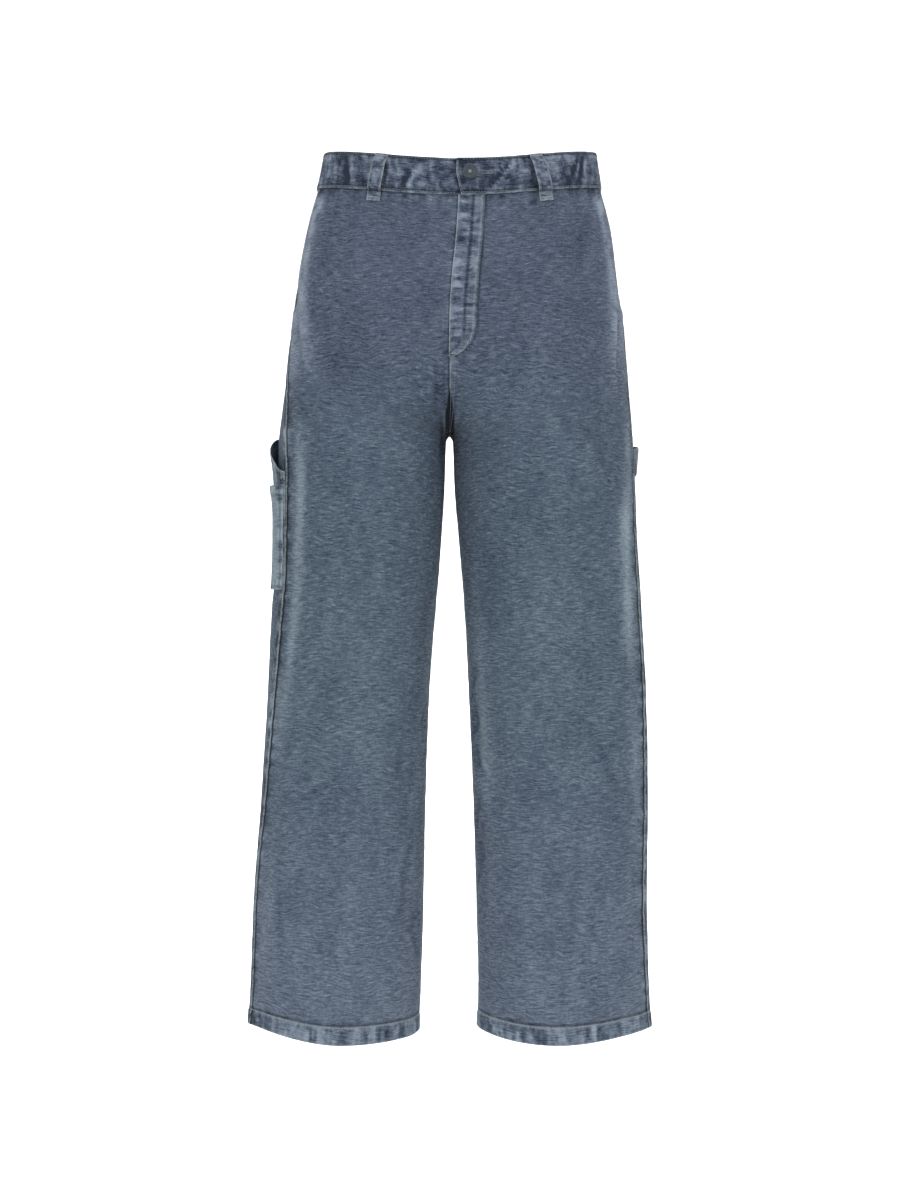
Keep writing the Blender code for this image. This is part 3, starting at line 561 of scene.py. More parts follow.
def relief(side, turn, drop):
    """How far the cloth stands out from the plain shape, and a lightness that follows it: rubbed wear on
    pucker ridges, with painted shade in pucker hollows and crease troughs, and painted light along the
    lower inseams.

    Returns the height in metres, and a lightness that is above nothing on ridges.
    """
    inner, outer = seam_distances(side, turn, drop)
    soft = np.zeros_like(turn)
    for leg, at, level, width, length, slant, height in FOLDS:
        if leg == side:
            aside = (turn - at - slant * (drop - level)) * CLOTH_ACROSS_A_TURN / width
            soft += height * np.exp(-aside * aside - ((drop - level) / length) ** 2)
    creases = crease_heights(side, turn, drop)
    x = turn * CLOTH_ACROSS_A_TURN
    swell = 0.0011 * rough(x / 0.055, drop / 0.120, 3 + side)
    swell = swell + 0.0005 * rough(x / 0.026, drop / 0.045, 5 + side)
    crumple = CRUMPLE * rough(x / 0.011, drop / 0.016, 7 + side)
    away = np.minimum(inner, outer)
    settle = smooth_step(inner / 0.030)
    fold_settle = np.minimum(np.sin(math.pi * np.clip(turn, 0, 1)) ** 2 * 60.0, 1.0)
    low = drop > RISE_END
    fold_settle = np.where(low, np.maximum(fold_settle, 0.35), fold_settle)
    plain = soft * fold_settle + (creases + swell * smooth_step(away / 0.02) + crumple) * settle

    hem_up = PANEL_FOOT - drop
    side_ripple = rough(drop / 0.0085, 0.0 * drop, 21 + side)
    side_ripple = side_ripple + 0.4 * rough(drop / 0.0042, outer / 0.004, 23 + side)
    inner_ripple = rough(drop / 0.0100, 0.0 * drop, 27)
    band_ripple = rough(x / 0.0090, drop / 0.03, 31 + side)
    band_ripple = band_ripple + 0.4 * rough(x / 0.0040, drop / 0.02, 33 + side)
    rope = 0.8 * rough((x + 0.12 * side * hem_up) / 0.0062, hem_up / 0.04, 35 + side)
    rope = rope + 0.6 * rough(x / 0.0034, hem_up / 0.008, 37 + side)
    at_side = side_ripple * bump(outer, 0.0095)
    at_inseam = 0.7 * inner_ripple * bump(inner, 0.0070)
    at_band = 0.9 * band_ripple * np.exp(-np.maximum(drop - PANEL_TOP, 0.0) / 0.010)
    at_hem = 1.15 * rope * smooth_step((0.0240 - hem_up) / 0.005)
    groove = -0.0007 * bump(hem_up - HEM_STITCH, 0.0014) * (hem_up < 0.05)
    bulge = 0.0008 * smooth_step((HEM_STITCH - hem_up) / 0.003)
    height = plain + settings().pucker * (at_side + at_inseam + at_band + at_hem) + groove + bulge
    # Painted light and shade on the puckers: pale ridges, partly rubbed wear, and hollows darkened with
    # painted shade.
    light = 1.2 * at_side + 0.8 * at_inseam + 0.9 * at_band + 0.95 * at_hem
    # Painted shade in the crease troughs, and a painted light along the lower inseams against the shade
    # between the legs.
    light = light + crumple / CRUMPLE * 0.05 + creases / 0.0020 * 0.35 + 0.30 * low * bump(inner, 0.016)
    return height, light


def grids(*values):
    """The same numbers as grids of one shape."""
    return np.broadcast_arrays(*(np.asarray(value, float) for value in values))


def lay(side, turn, drop, lift):
    """Points on the folded and puckered cloth, moved out of it by lift."""
    turn, drop, lift = grids(turn, drop, lift)
    points, normals = bare_cloth(side, turn, drop)
    height, light = relief(side, turn, drop)
    return points + normals * (lift + height)[..., None], normals, light


BAND_MIDDLE = BAND_HEIGHT / 2
HALF_WAIST = {
    side: float(arc(side, "front", BAND_MIDDLE) + arc(side, "back", BAND_MIDDLE))
    for side in (RIGHT, LEFT)
}
WAIST = HALF_WAIST[RIGHT] + HALF_WAIST[LEFT]


def round_waist(arcs, drop, lift):
    """Points by their distance from the centre front, + towards the wearer's left."""
    arcs, drop, lift = grids(arcs, drop, lift)
    arcs = np.where(arcs > HALF_WAIST[LEFT], arcs - WAIST, arcs)
    arcs = np.where(arcs < -HALF_WAIST[RIGHT], arcs + WAIST, arcs)
    points, normals = np.zeros(arcs.shape + (3,)), np.zeros(arcs.shape + (3,))
    for side in (RIGHT, LEFT):
        here = (arcs >= 0.0) == (side == LEFT)
        distance = np.abs(arcs[here])
        front = float(arc(side, "front", BAND_MIDDLE))
        turn = np.where(
            distance <= front,
            turn_at(side, "front", distance, BAND_MIDDLE),
            turn_at(side, "back", np.maximum(distance - front, 0.0), BAND_MIDDLE),
        )
        flat, out = bare_cloth(side, turn, drop[here])
        points[here], normals[here] = flat, out
    return points + normals * lift[..., None], normals


# The band's larger creases: distance round it, drop, lean, width, length, depth
BAND_CREASES = (
    (0.135, 0.020, 0.5, 0.0030, 0.012, -0.0009),
    (0.146, 0.018, 0.3, 0.0030, 0.012, -0.0009),
    (0.043, 0.022, 0.9, 0.0028, 0.011, -0.0008),
    (-0.132, 0.024, -0.3, 0.0035, 0.013, -0.0008),
    (-0.060, 0.026, 0.4, 0.0035, 0.012, -0.0006),
    (0.200, 0.022, 0.3, 0.0040, 0.014, -0.0008),
    (-0.205, 0.022, -0.3, 0.0040, 0.014, -0.0008),
    (0.350, 0.022, -0.4, 0.0040, 0.014, -0.0008),
    (-0.340, 0.022, 0.4, 0.0040, 0.014, -0.0008),
)


def band_relief(arcs, drop):
    """Upright puckers along the band's two stitched edges, and its few larger creases."""
    pull = settings().pucker
    ripple = rough(arcs / 0.0075, drop / 0.060, 51) + 0.5 * rough(arcs / 0.0038, drop / 0.030, 53)
    edges = 0.45 + 0.55 * np.abs(drop / BAND_HEIGHT * 2 - 1) ** 1.5
    height = 0.85 * pull * ripple * edges
    for at, level, lean, width, length, depth in BAND_CREASES:
        aside = arcs - at + lean * (drop - level)
        trough, ridge = bump(aside, width), bump(aside - 2 * width, width)
        height += depth * bump(drop - level, length) * (trough - 0.7 * ridge)
    for row in BAND_ROWS:
        height -= 0.00025 * bump(drop - row, 0.0010)
    # The lightness follows the height: pale ridges, partly rubbed wear, and troughs darkened with painted
    # shade.
    return height, height / 0.0007 * 1.45


# Shader groups

CLOTH_UV = "cloth"
# fade carries the tone with painted light and shade; shade is painted shade and shadow lines, partly
# unfaded cloth in seams.
MARKS = ("fade", "violet", "edge", "shade")


def new_group(name, inputs, outputs):
    """An empty shader group with named sockets: its nodes, links, and two ends."""
    group = bpy.data.node_groups.new(name, "ShaderNodeTree")
    for direction, sockets in (("INPUT", inputs), ("OUTPUT", outputs)):
        for title, kind in sockets:
            group.interface.new_socket(name=title, in_out=direction, socket_type="NodeSocket" + kind)
    start = group.nodes.new("NodeGroupInput")
    end = group.nodes.new("NodeGroupOutput")
    return group, start, end


def math_node(tree, operation, first, second=None, clamp=False):
    """A Math node fed by sockets or numbers; returns its output."""
    node = tree.nodes.new("ShaderNodeMath")
    node.operation = operation
    node.use_clamp = clamp
    for socket, value in zip(node.inputs, (first, second)):
        if value is None:
            continue
        if isinstance(value, (int, float)):
            socket.default_value = value
        else:
            tree.links.new(value, socket)
    return node.outputs[0]


def centred(tree, value, amount):
    """A noise that swings evenly about nothing, by an amount."""
    return math_node(tree, "MULTIPLY", math_node(tree, "SUBTRACT", value, 0.5), amount)


def noise_node(tree, vector, scale, detail=2.0, roughness=0.55):
    node = tree.nodes.new("ShaderNodeTexNoise")
    node.inputs["Scale"].default_value = scale
    node.inputs["Detail"].default_value = detail
    node.inputs["Roughness"].default_value = roughness
    tree.links.new(vector, node.inputs["Vector"])
    return node.outputs["Fac"]


def stretched(tree, vector, stretch):
    """A vector scaled by its own amount along each axis."""
    node = tree.nodes.new("ShaderNodeMapping")
    node.inputs["Scale"].default_value = stretch
    tree.links.new(vector, node.inputs["Vector"])
    return node.outputs["Vector"]


def mix_colour(tree, share, first, second):
    node = tree.nodes.new("ShaderNodeMix")
    node.data_type = "RGBA"
    tree.links.new(share, node.inputs["Factor"])
    for socket, value in ((node.inputs["A"], first), (node.inputs["B"], second)):
        if isinstance(value, (tuple, list)):
            socket.default_value = (*value, 1.0)
        else:
            tree.links.new(value, socket)
    return node.outputs["Result"]


def weave_group():
    """Plain canvas with thick and thin crosswise threads, on a UV map in metres."""
    if "Canvas weave" in bpy.data.node_groups:
        return bpy.data.node_groups["Canvas weave"]
    group, start, end = new_group(
        "Canvas weave",
        (("Place", "Vector"), ("Threads", "Float"), ("Slub", "Float")),
        (("Height", "Float"), ("Tone", "Float")),
    )
    parts = group.nodes.new("ShaderNodeSeparateXYZ")
    group.links.new(start.outputs["Place"], parts.inputs["Vector"])
    waves = []
    for axis in ("X", "Y"):
        turns = math_node(group, "MULTIPLY", parts.outputs[axis], start.outputs["Threads"])
        waves.append(math_node(group, "SINE", math_node(group, "MULTIPLY", turns, math.pi)))
    over = math_node(group, "MULTIPLY", waves[0], waves[1])
    drift = group.nodes.new("ShaderNodeCombineXYZ")
    wander = noise_node(group, start.outputs["Place"], 26.0, 2.0)
    group.links.new(centred(group, wander, 0.016), drift.inputs["Y"])
    moved = group.nodes.new("ShaderNodeVectorMath")
    group.links.new(start.outputs["Place"], moved.inputs[0])
    group.links.new(drift.outputs["Vector"], moved.inputs[1])
    place = moved.outputs["Vector"]
    tone = None
    for stretch, detail, weight in (
        ((85.0, 640.0, 1.0), 1.0, 1.0),
        ((210.0, 1100.0, 1.0), 1.0, 0.6),
        ((40.0, 330.0, 1.0), 1.0, 0.30),
        ((800.0, 160.0, 1.0), 1.0, 0.16),
    ):
        yarn = centred(group, noise_node(group, stretched(group, place, stretch), 1.0, detail), weight)
        tone = yarn if tone is None else math_node(group, "ADD", tone, yarn)
    tone = math_node(group, "MULTIPLY", tone, start.outputs["Slub"])
    crossings = math_node(group, "MULTIPLY", over, 0.28)
    height = math_node(group, "ADD", crossings, math_node(group, "MULTIPLY", tone, 1.3))
    group.links.new(height, end.inputs["Height"])
    group.links.new(tone, end.inputs["Tone"])
    return group


def wash_group():
    """Mottling left by washing, in large clouds and small flecks."""
    if "Wash mottle" in bpy.data.node_groups:
        return bpy.data.node_groups["Wash mottle"]
    group, start, end = new_group(
        "Wash mottle", (("Place", "Vector"), ("Depth", "Float")), (("Tone", "Float"),)
    )
    clouds = noise_node(group, start.outputs["Place"], 16.0, 3.0, 0.6)
    flecks = noise_node(group, stretched(group, start.outputs["Place"], (1.0, 1.0, 0.8)), 420.0, 3.0, 0.65)
    tone = math_node(group, "ADD", centred(group, clouds, 0.3), centred(group, flecks, 0.55))
    group.links.new(math_node(group, "MULTIPLY", tone, start.outputs["Depth"]), end.inputs["Tone"])
    return group


def rub_group():
    """A rubbed edge, broken up where the cloth wasn't touched."""
    if "Rubbed edge" in bpy.data.node_groups:
        return bpy.data.node_groups["Rubbed edge"]
    group, start, end = new_group(
        "Rubbed edge", (("Edge", "Float"), ("Place", "Vector")), (("Mask", "Float"),)
    )
    broken = noise_node(group, start.outputs["Place"], 330.0, 3.0, 0.7)
    gate = group.nodes.new("ShaderNodeMapRange")
    gate.inputs["From Min"].default_value = 0.30
    gate.inputs["From Max"].default_value = 0.62
    group.links.new(broken, gate.inputs["Value"])
    mask = math_node(group, "MULTIPLY", start.outputs["Edge"], gate.outputs["Result"], True)
    group.links.new(mask, end.inputs["Mask"])
    return group


def group_node(tree, group, links):
    node = tree.nodes.new("ShaderNodeGroup")
    node.node_tree = group
    for title, value in links.items():
        if isinstance(value, (int, float)):
            node.inputs[title].default_value = value
        else:
            tree.links.new(value, node.inputs[title])
    return node


def attribute(tree, name):
    node = tree.nodes.new("ShaderNodeAttribute")
    node.attribute_name = name
    return node.outputs["Fac"]


def new_material(name):
    """A new material, with its nodes, its shader and a place on Object coordinates."""
    made = bpy.data.materials.new(name)
    made.use_nodes = True
    tree = made.node_tree
    place = tree.nodes.new("ShaderNodeTexCoord").outputs["Object"]
    return made, tree, tree.nodes["Principled BSDF"], place


def raise_surface(tree, height, strength, distance):
    """Bumps a material's surface by a pattern."""
    node = tree.nodes.new("ShaderNodeBump")
    node.inputs["Strength"].default_value = strength
    node.inputs["Distance"].default_value = distance
    tree.links.new(height, node.inputs["Height"])
    tree.links.new(node.outputs["Normal"], tree.nodes["Principled BSDF"].inputs["Normal"])


def canvas_material(name, tone=0.0, slub=1.0, mottle=1.0, marked=True):
    """Washed canvas: darker in its hollows with painted shade, dark along painted shadow lines, pale where
    rubbed and where highlights are painted, with its weave and nap.
    """
    if name in bpy.data.materials:
        return bpy.data.materials[name]
    look = bpy.context.scene.pants_look
    made, tree, shader, place = new_material(name)
    uv = tree.nodes.new("ShaderNodeUVMap")
    uv.uv_map = CLOTH_UV
    yarns = {"Place": uv.outputs["UV"], "Threads": 1.0 / look.thread_pitch, "Slub": slub}
    weave = group_node(tree, weave_group(), yarns)
    wash = group_node(tree, wash_group(), {"Place": place, "Depth": mottle})
    level = math_node(tree, "ADD", weave.outputs["Tone"], wash.outputs["Tone"])
    level = math_node(tree, "MULTIPLY", level, look.contrast)
    if marked:
        level = math_node(tree, "ADD", level, attribute(tree, "fade"))
    level = math_node(tree, "ADD", math_node(tree, "MULTIPLY", level, 0.5), 0.36 + 0.5 * tone, True)
    # The ramp from deep to pale carries the slub and mottle, rubbed wear, and the painted light and shade
    # in the fade mark.
    ramp = tree.nodes.new("ShaderNodeValToRGB")
    ramp.color_ramp.interpolation = "LINEAR"
    stops = ramp.color_ramp.elements
    stops[0].position, stops[0].color = 0.0, (*look.deep, 1.0)
    stops[1].position, stops[1].color = 1.0, (*look.pale, 1.0)
    middle = stops.new(0.38)
    middle.color = (*look.washed, 1.0)
    tree.links.new(level, ramp.inputs["Fac"])
    colour = ramp.outputs["Color"]
    if marked:
        tint = tree.nodes.new("ShaderNodeMix")
        tint.data_type = "RGBA"
        tint.blend_type = "MULTIPLY"
        tree.links.new(attribute(tree, "violet"), tint.inputs["Factor"])
        tree.links.new(colour, tint.inputs["A"])
        tint.inputs["B"].default_value = (*look.violet, 1.0)
        colour = tint.outputs["Result"]
        rub = group_node(tree, rub_group(), {"Edge": attribute(tree, "edge"), "Place": place})
        colour = mix_colour(tree, rub.outputs["Mask"], colour, tuple(look.rubbed))
        # Painted shade and shadow: the shade mark mixes in a near-black, partly unfaded cloth in seams and
        # grooves.
        shade = math_node(tree, "MULTIPLY", attribute(tree, "shade"), 1.0, True)
        colour = mix_colour(tree, shade, colour, tuple(look.shadow_and_unfaded))
    tree.links.new(colour, shader.inputs["Base Color"])
    dullness = math_node(tree, "MULTIPLY", weave.outputs["Tone"], 0.12)
    tree.links.new(math_node(tree, "ADD", dullness, 0.86, True), shader.inputs["Roughness"])
    shader.inputs["Sheen Weight"].default_value = 0.04
    shader.inputs["Sheen Roughness"].default_value = 0.6
    shader.inputs["Specular IOR Level"].default_value = 0.12
    raise_surface(tree, weave.outputs["Height"], 0.55, 0.00035)
    return made


def thread_material(name, tint, shade):
    """Twisted sewing thread, a little uneven in tone."""
    if name in bpy.data.materials:
        return bpy.data.materials[name]
    made, tree, shader, place = new_material(name)
    patch = noise_node(tree, place, 90.0, 2.0)
    twist = noise_node(tree, place, 2400.0, 1.0)
    tree.links.new(mix_colour(tree, patch, tuple(shade), tuple(tint)), shader.inputs["Base Color"])
    shader.inputs["Roughness"].default_value = 0.7
    shader.inputs["Sheen Weight"].default_value = 0.15
    raise_surface(tree, twist, 0.4, 0.0001)
    return made


# Building pieces

def settings():
    return bpy.context.scene.pants_sizes


def shown(mesh, name):
    """Puts a mesh in the scene under its piece's name."""
    piece = bpy.data.objects.new(name, mesh)
    bpy.context.scene.collection.objects.link(piece)
    return piece


def set_marks(mesh, marks):
    for name in MARKS:
        layer = mesh.attributes.new(name, "FLOAT", "POINT")
        layer.data.foreach_set("value", np.asarray(marks[name], np.float32).ravel())


def sew(name, points, normals, uv, marks, materials, thickness, rim=0.0004):
    """A sheet of cloth from rows of points, faced outward and given its thickness."""
    rows, columns = points.shape[:2]
    bm = bmesh.new()
    bmesh.ops.create_grid(bm, x_segments=columns - 1, y_segments=rows - 1, size=0.5)
    mesh = bpy.data.meshes.new(name)
    bm.to_mesh(mesh)
    bm.free()
    flat = np.empty(len(mesh.vertices) * 3)
    mesh.vertices.foreach_get("co", flat)
    flat = flat.reshape(-1, 3)
    column = np.rint((flat[:, 0] + 0.5) * (columns - 1)).astype(int)
    row = np.rint((flat[:, 1] + 0.5) * (rows - 1)).astype(int)
    mesh.vertices.foreach_set("co", points[row, column].ravel())
    corner = np.empty(len(mesh.loops), int)
    mesh.loops.foreach_get("vertex_index", corner)
    layer = mesh.uv_layers.new(name=CLOTH_UV)
    layer.data.foreach_set("uv", uv[row, column][corner].ravel())
    set_marks(mesh, {key: value[row, column] for key, value in marks.items()})
    mesh.update()
    facing, starts = np.empty(len(mesh.polygons) * 3), np.empty(len(mesh.polygons), int)
    mesh.polygons.foreach_get("normal", facing)
    mesh.polygons.foreach_get("loop_start", starts)
    if (facing.reshape(-1, 3) * normals[row, column][corner[starts]]).sum() < 0.0:
        mesh.flip_normals()
    mesh.shade_smooth()
    for made in materials:
        mesh.materials.append(made)
    piece = shown(mesh, name)
    wall = piece.modifiers.new("Cloth thickness", "SOLIDIFY")
    wall.thickness = thickness
    wall.offset = -1.0
    wall.use_even_offset = False
    wall.material_offset = 1 if len(materials) > 1 else 0
    if rim:
        edge = piece.modifiers.new("Soft cut edge", "BEVEL")
        edge.width = rim
        edge.segments = 2
        edge.limit_method = "ANGLE"
        edge.angle_limit = math.radians(60)
    return piece


def stands_for(piece, slot, *nodes):
    """Fixes a piece to the body, and hides what it takes the place of."""
    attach(piece, "root")
    if nodes:
        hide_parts(*nodes)


def flat_area(points):
    """The area of a sheet's outer face."""
    a = points[1:, :-1] - points[:-1, :-1]
    b = points[:-1, 1:] - points[:-1, :-1]
    c = points[1:, 1:] - points[1:, :-1]
    d = points[1:, 1:] - points[:-1, 1:]
    halves = (np.linalg.norm(np.cross(*pair), axis=2) for pair in ((a, b), (c, d)))
    return float(sum(halves).sum() / 2)


def declare(points, width, length):
    """Works out a piece's area, kept just under its cut width times length."""
    area = min(flat_area(points), 0.999 * width * length)


def wash_marks(side, turn, drop, light, edge, shade):
    """The masks of a piece of cloth: how faded, with the painted light and shade it is given, how violet,
    rubbed edges, and painted shade lines and shadows.
    """
    z = BAND_TOP - drop
    levels = np.linspace(-1.02, 0.04, 120)
    tone = np.interp(z, levels, [look_up(WASH, "tone", level) for level in levels])
    violet = np.interp(z, levels, [look_up(WASH, "violet", level) for level in levels])
    x = turn * CLOTH_ACROSS_A_TURN
    for leg, at, level, half_width, half_length, lightness in HIGHLIGHTS_AND_RUBS:
        if leg == side:
            patch = bump(x - at * CLOTH_ACROSS_A_TURN, half_width) * bump(drop - level, half_length)
            tone = tone + lightness * patch
    tone = tone + 0.10 * rough(x / 0.030, drop / 0.060, 71 + side) + light
    violet, edge, shade = (np.clip(mask, 0, 1) for mask in (violet, edge, shade))
    return {"fade": tone, "violet": violet, "edge": edge, "shade": shade}


def across_stops(width, start_stops, end_stops, count):
    """Distances across each row: close together at both seams, even between them."""
    width = np.asarray(width)[:, None]
    start, end = np.asarray(start_stops), np.asarray(end_stops)
    part = np.linspace(0.0, 1.0, count + 2)[1:-1]
    middle = start[-1] + (width - end[-1] - start[-1]) * part
    start = np.broadcast_to(start, (len(width), len(start)))
    return np.concatenate((start, middle, width - end[::-1]), axis=1)


PANEL_DROPS = np.concatenate((
    np.linspace(PANEL_TOP, PANEL_TOP + 0.024, 13),
    np.linspace(PANEL_TOP + 0.024, PANEL_FOOT - 0.030, 296)[1:],
    np.linspace(PANEL_FOOT - 0.030, PANEL_FOOT, 20)[1:],
))
SEAM_STOPS = (0.0, 0.0005, 0.0010, 0.0018, 0.0030, 0.0045, 0.0062, 0.0080, 0.0100, 0.0125)
LAP_STOPS = (
    -0.0012, -0.0008, 0.0, 0.0010, 0.0017, 0.0026, 0.0040,
    0.0055, 0.0070, 0.0080, 0.0090, 0.0098, 0.0108, 0.0124,
)


def mouth_line(drop):
    """How far in front of the side seam the slant pocket's line runs."""
    part = np.clip((drop - PANEL_TOP) / (MOUTH_DROP - PANEL_TOP), 0.0, 1.0)
    return MOUTH_TOP + (MOUTH_FOOT - MOUTH_TOP) * part


def mouth_distance(drop):
    """The same for the cut edge, which closes to the side seam at the pocket's foot."""
    return mouth_line(drop) * (1.0 - smooth_step((drop - MOUTH_DROP + 0.012) / 0.014))


def reverse():
    return canvas_material("canvas_reverse", tone=0.10, slub=0.8, mottle=0.5, marked=False)


def trim():
    return canvas_material("trim_canvas", tone=0.10, mottle=1.2)


def hem_marks(drop):
    """The rubbed lines along a hem, its fold and its chained line, and painted shade in the groove above.
    """
    hem_up = PANEL_FOOT - drop
    edge = 0.7 * bump(hem_up, 0.0012) + 0.80 * bump(hem_up - HEM_STITCH, 0.0012)
    return edge, 0.75 * bump(hem_up - HEM_STITCH - 0.0026, 0.0013)


def declare_panel(points, width):
    length = PANEL_FOOT - PANEL_TOP
    declare(points, 1.02 * float(width.max()), 1.03 * length)


def crotch_marks(points):
    """The shadow where the legs part and the ridges beside it: a lightness and a shade."""
    x, z = points[..., 0] - CROTCH_X, points[..., 2]
    half = 0.0050 * smooth_step((-0.256 - z) / 0.034)
    deep = smooth_step((half - np.abs(x)) / 0.0014 + 0.4) * (half > 0.0004) * (z > CROTCH_Z - 0.02)
    near = bump(z - CROTCH_Z + 0.004, 0.032)
    light = near * (0.35 * bump(x + 0.0058, 0.0014) - 0.45 * bump(x + 0.0090, 0.0020))
    light = light - 0.28 * bump(x + 0.0120, 0.0090) * bump(z + 0.262, 0.018)
    light = light + 0.80 * bump(z + 0.2296 - 0.05 * x, 0.0011) * smooth_step((0.016 - x) / 0.006) * (x > 0)
    light = light + 0.55 * bump(z + 0.2400 + 0.8 * x, 0.0016) * smooth_step((0.013 - x) / 0.004) * (x > 0)
    return light, 1.3 * deep


def make_front(side):
    """A front, cut away along its slant pocket, and lapped down the centre."""
    drops = PANEL_DROPS
    width = arc(side, "front", drops) - mouth_distance(drops)
    distance = across_stops(width, SEAM_STOPS, SEAM_STOPS, 76)
    drop = np.broadcast_to(drops[:, None], distance.shape)
    turn = turn_at(side, "front", distance, drop)
    from_edge = width[:, None] - distance
    rise = drop < RISE_END
    lap = (side == LEFT) * rise * smooth_step((drop - FLY_DROP + 0.004) / 0.012)
    lap = lap * smooth_step((RISE_END - drop) / 0.02)
    at_mouth = drop < MOUTH_DROP
    hem = 0.0009 * at_mouth * smooth_step((0.011 - from_edge) / 0.0015)
    hem = hem - 0.0004 * at_mouth * dents(from_edge, MOUTH_ROWS, 0.0008)
    lift = LAP_LIFT * lap * smooth_step((0.0075 - distance) / 0.0014) + hem
    lift = lift - THREAD_DENT * lap * dents(distance, CENTRE_ROWS)
    points, normals, light = lay(side, turn, drop, lift)
    edge = 0.95 * lap * bump(distance, 0.0009) + at_mouth * bump(from_edge, 0.0038)
    hem_edge, hem_shade = hem_marks(drop)
    edge = edge + hem_edge
    # Painted shadow lines: beside the back's lap down the side seam, down the centre on the right beneath
    # the left front's lap, under the band, and on the left beside the fly and under its foot.
    shade = 1.35 * (~at_mouth) * bump(from_edge - 0.0010, 0.0034) + hem_shade
    shade = shade + 0.7 * (side == RIGHT) * rise * bump(distance - 0.0006, 0.0016)
    shade = shade + 0.8 * bump(drop - PANEL_TOP, 0.0022)
    if side == LEFT:
        beside_fly = distance - fly_width(np.minimum(drop, FLY_DROP))
        shade = shade + 0.75 * bump(beside_fly - 0.0006, 0.0014) * (drop < FLY_DROP + 0.001)
        shade = shade + 0.65 * bump(drop - FLY_DROP - 0.0008, 0.0012) * bump(distance - 0.006, 0.010)
    # Painted shadow where the legs part, and painted light and shade on the folds beside it.
    parting, deep = crotch_marks(points)
    shade = shade + deep
    # A pale zone along the slant pocket's line: painted highlight where the hip turns to its side, partly
    # rubbed wear.
    from_line = arc(side, "front", drop) - distance - mouth_line(drop)
    zone = smooth_step((0.036 - from_line) / 0.022) * smooth_step((drop - PANEL_TOP) / 0.020)
    zone = zone * smooth_step((MOUTH_DROP + 0.110 - drop) / 0.130)
    blotch = rough(drop / 0.013, from_edge / 0.012, 75 + side)
    worn = bump(drop - PANEL_TOP - 0.022, 0.016)
    light = light + parting + zone * (0.80 + 0.45 * blotch + 1.3 * worn * blotch)
    beneath_band = bump(drop - PANEL_TOP - 0.002, 0.009)
    light = light - 0.40 * at_mouth * smooth_step((0.06 - from_edge) / 0.03) * beneath_band
    marks = wash_marks(side, turn, drop, light, edge, shade)
    uv = np.stack((side * (distance + 0.31), -drop), axis=-1)
    cloth = [canvas_material("washed_canvas"), reverse()]
    piece = sew("cloth_front_" + SIDE_NAMES[side], points, normals, uv, marks, cloth, settings().thickness)
    stands_for(piece, "canvas", "front_" + SIDE_NAMES[side])
    declare_panel(points, width)


def make_back(side):
    """A back, whose folded edge laps the front all down the side seam."""
    drops = PANEL_DROPS
    width = arc(side, "back", drops)
    distance = across_stops(width, LAP_STOPS, SEAM_STOPS, 88)
    drop = np.broadcast_to(drops[:, None], distance.shape)
    turn = turn_at(side, "side", distance, drop)
    from_centre = width[:, None] - distance
    lift = LAP_LIFT * smooth_step((LAP_WIDTH + 0.0006 - distance) / 0.0012)
    lift = lift - 0.00035 * dents(distance, LAP_ROWS)
    rise = drop < RISE_END
    fell = (side == LEFT) * rise * smooth_step((RISE_END - drop) / 0.02)
    lift = lift + 0.0010 * fell * smooth_step((0.0092 - from_centre) / 0.0014)
    lift = lift - THREAD_DENT * fell * dents(from_centre, SEAT_ROWS)
    points, normals, light = lay(side, turn, drop, lift)
    strip = smooth_step((LAP_WIDTH - distance) / 0.001)
    light = light + 0.75 * strip * rough(drop / 0.0045, distance / 0.0035, 81 + side) - 0.10 * strip
    edge = bump(distance + 0.0008, 0.0015) + 0.35 * bump(distance - LAP_WIDTH, 0.0010)
    hem_edge, hem_shade = hem_marks(drop)
    edge = edge + hem_edge + 0.8 * fell * bump(from_centre, 0.0008)
    # Painted shadow lines: under the band, beside the felled strip of the side seam, and on the right down
    # the centre back beneath the seat's lap.
    shade = 0.8 * bump(drop - PANEL_TOP, 0.0022)
    shade = shade + 0.6 * bump(distance - LAP_WIDTH - 0.0016, 0.0012) + hem_shade
    shade = shade + 0.6 * (side == RIGHT) * rise * bump(from_centre - 0.0006, 0.0014)
    marks = wash_marks(side, turn, drop, light, edge, shade)
    uv = np.stack((side * (distance + 0.77), -drop), axis=-1)
    cloth = [canvas_material("washed_canvas"), reverse()]
    piece = sew("cloth_back_" + SIDE_NAMES[side], points, normals, uv, marks, cloth, settings().thickness)
    stands_for(piece, "canvas", "back_" + SIDE_NAMES[side])
    declare_panel(points, width)


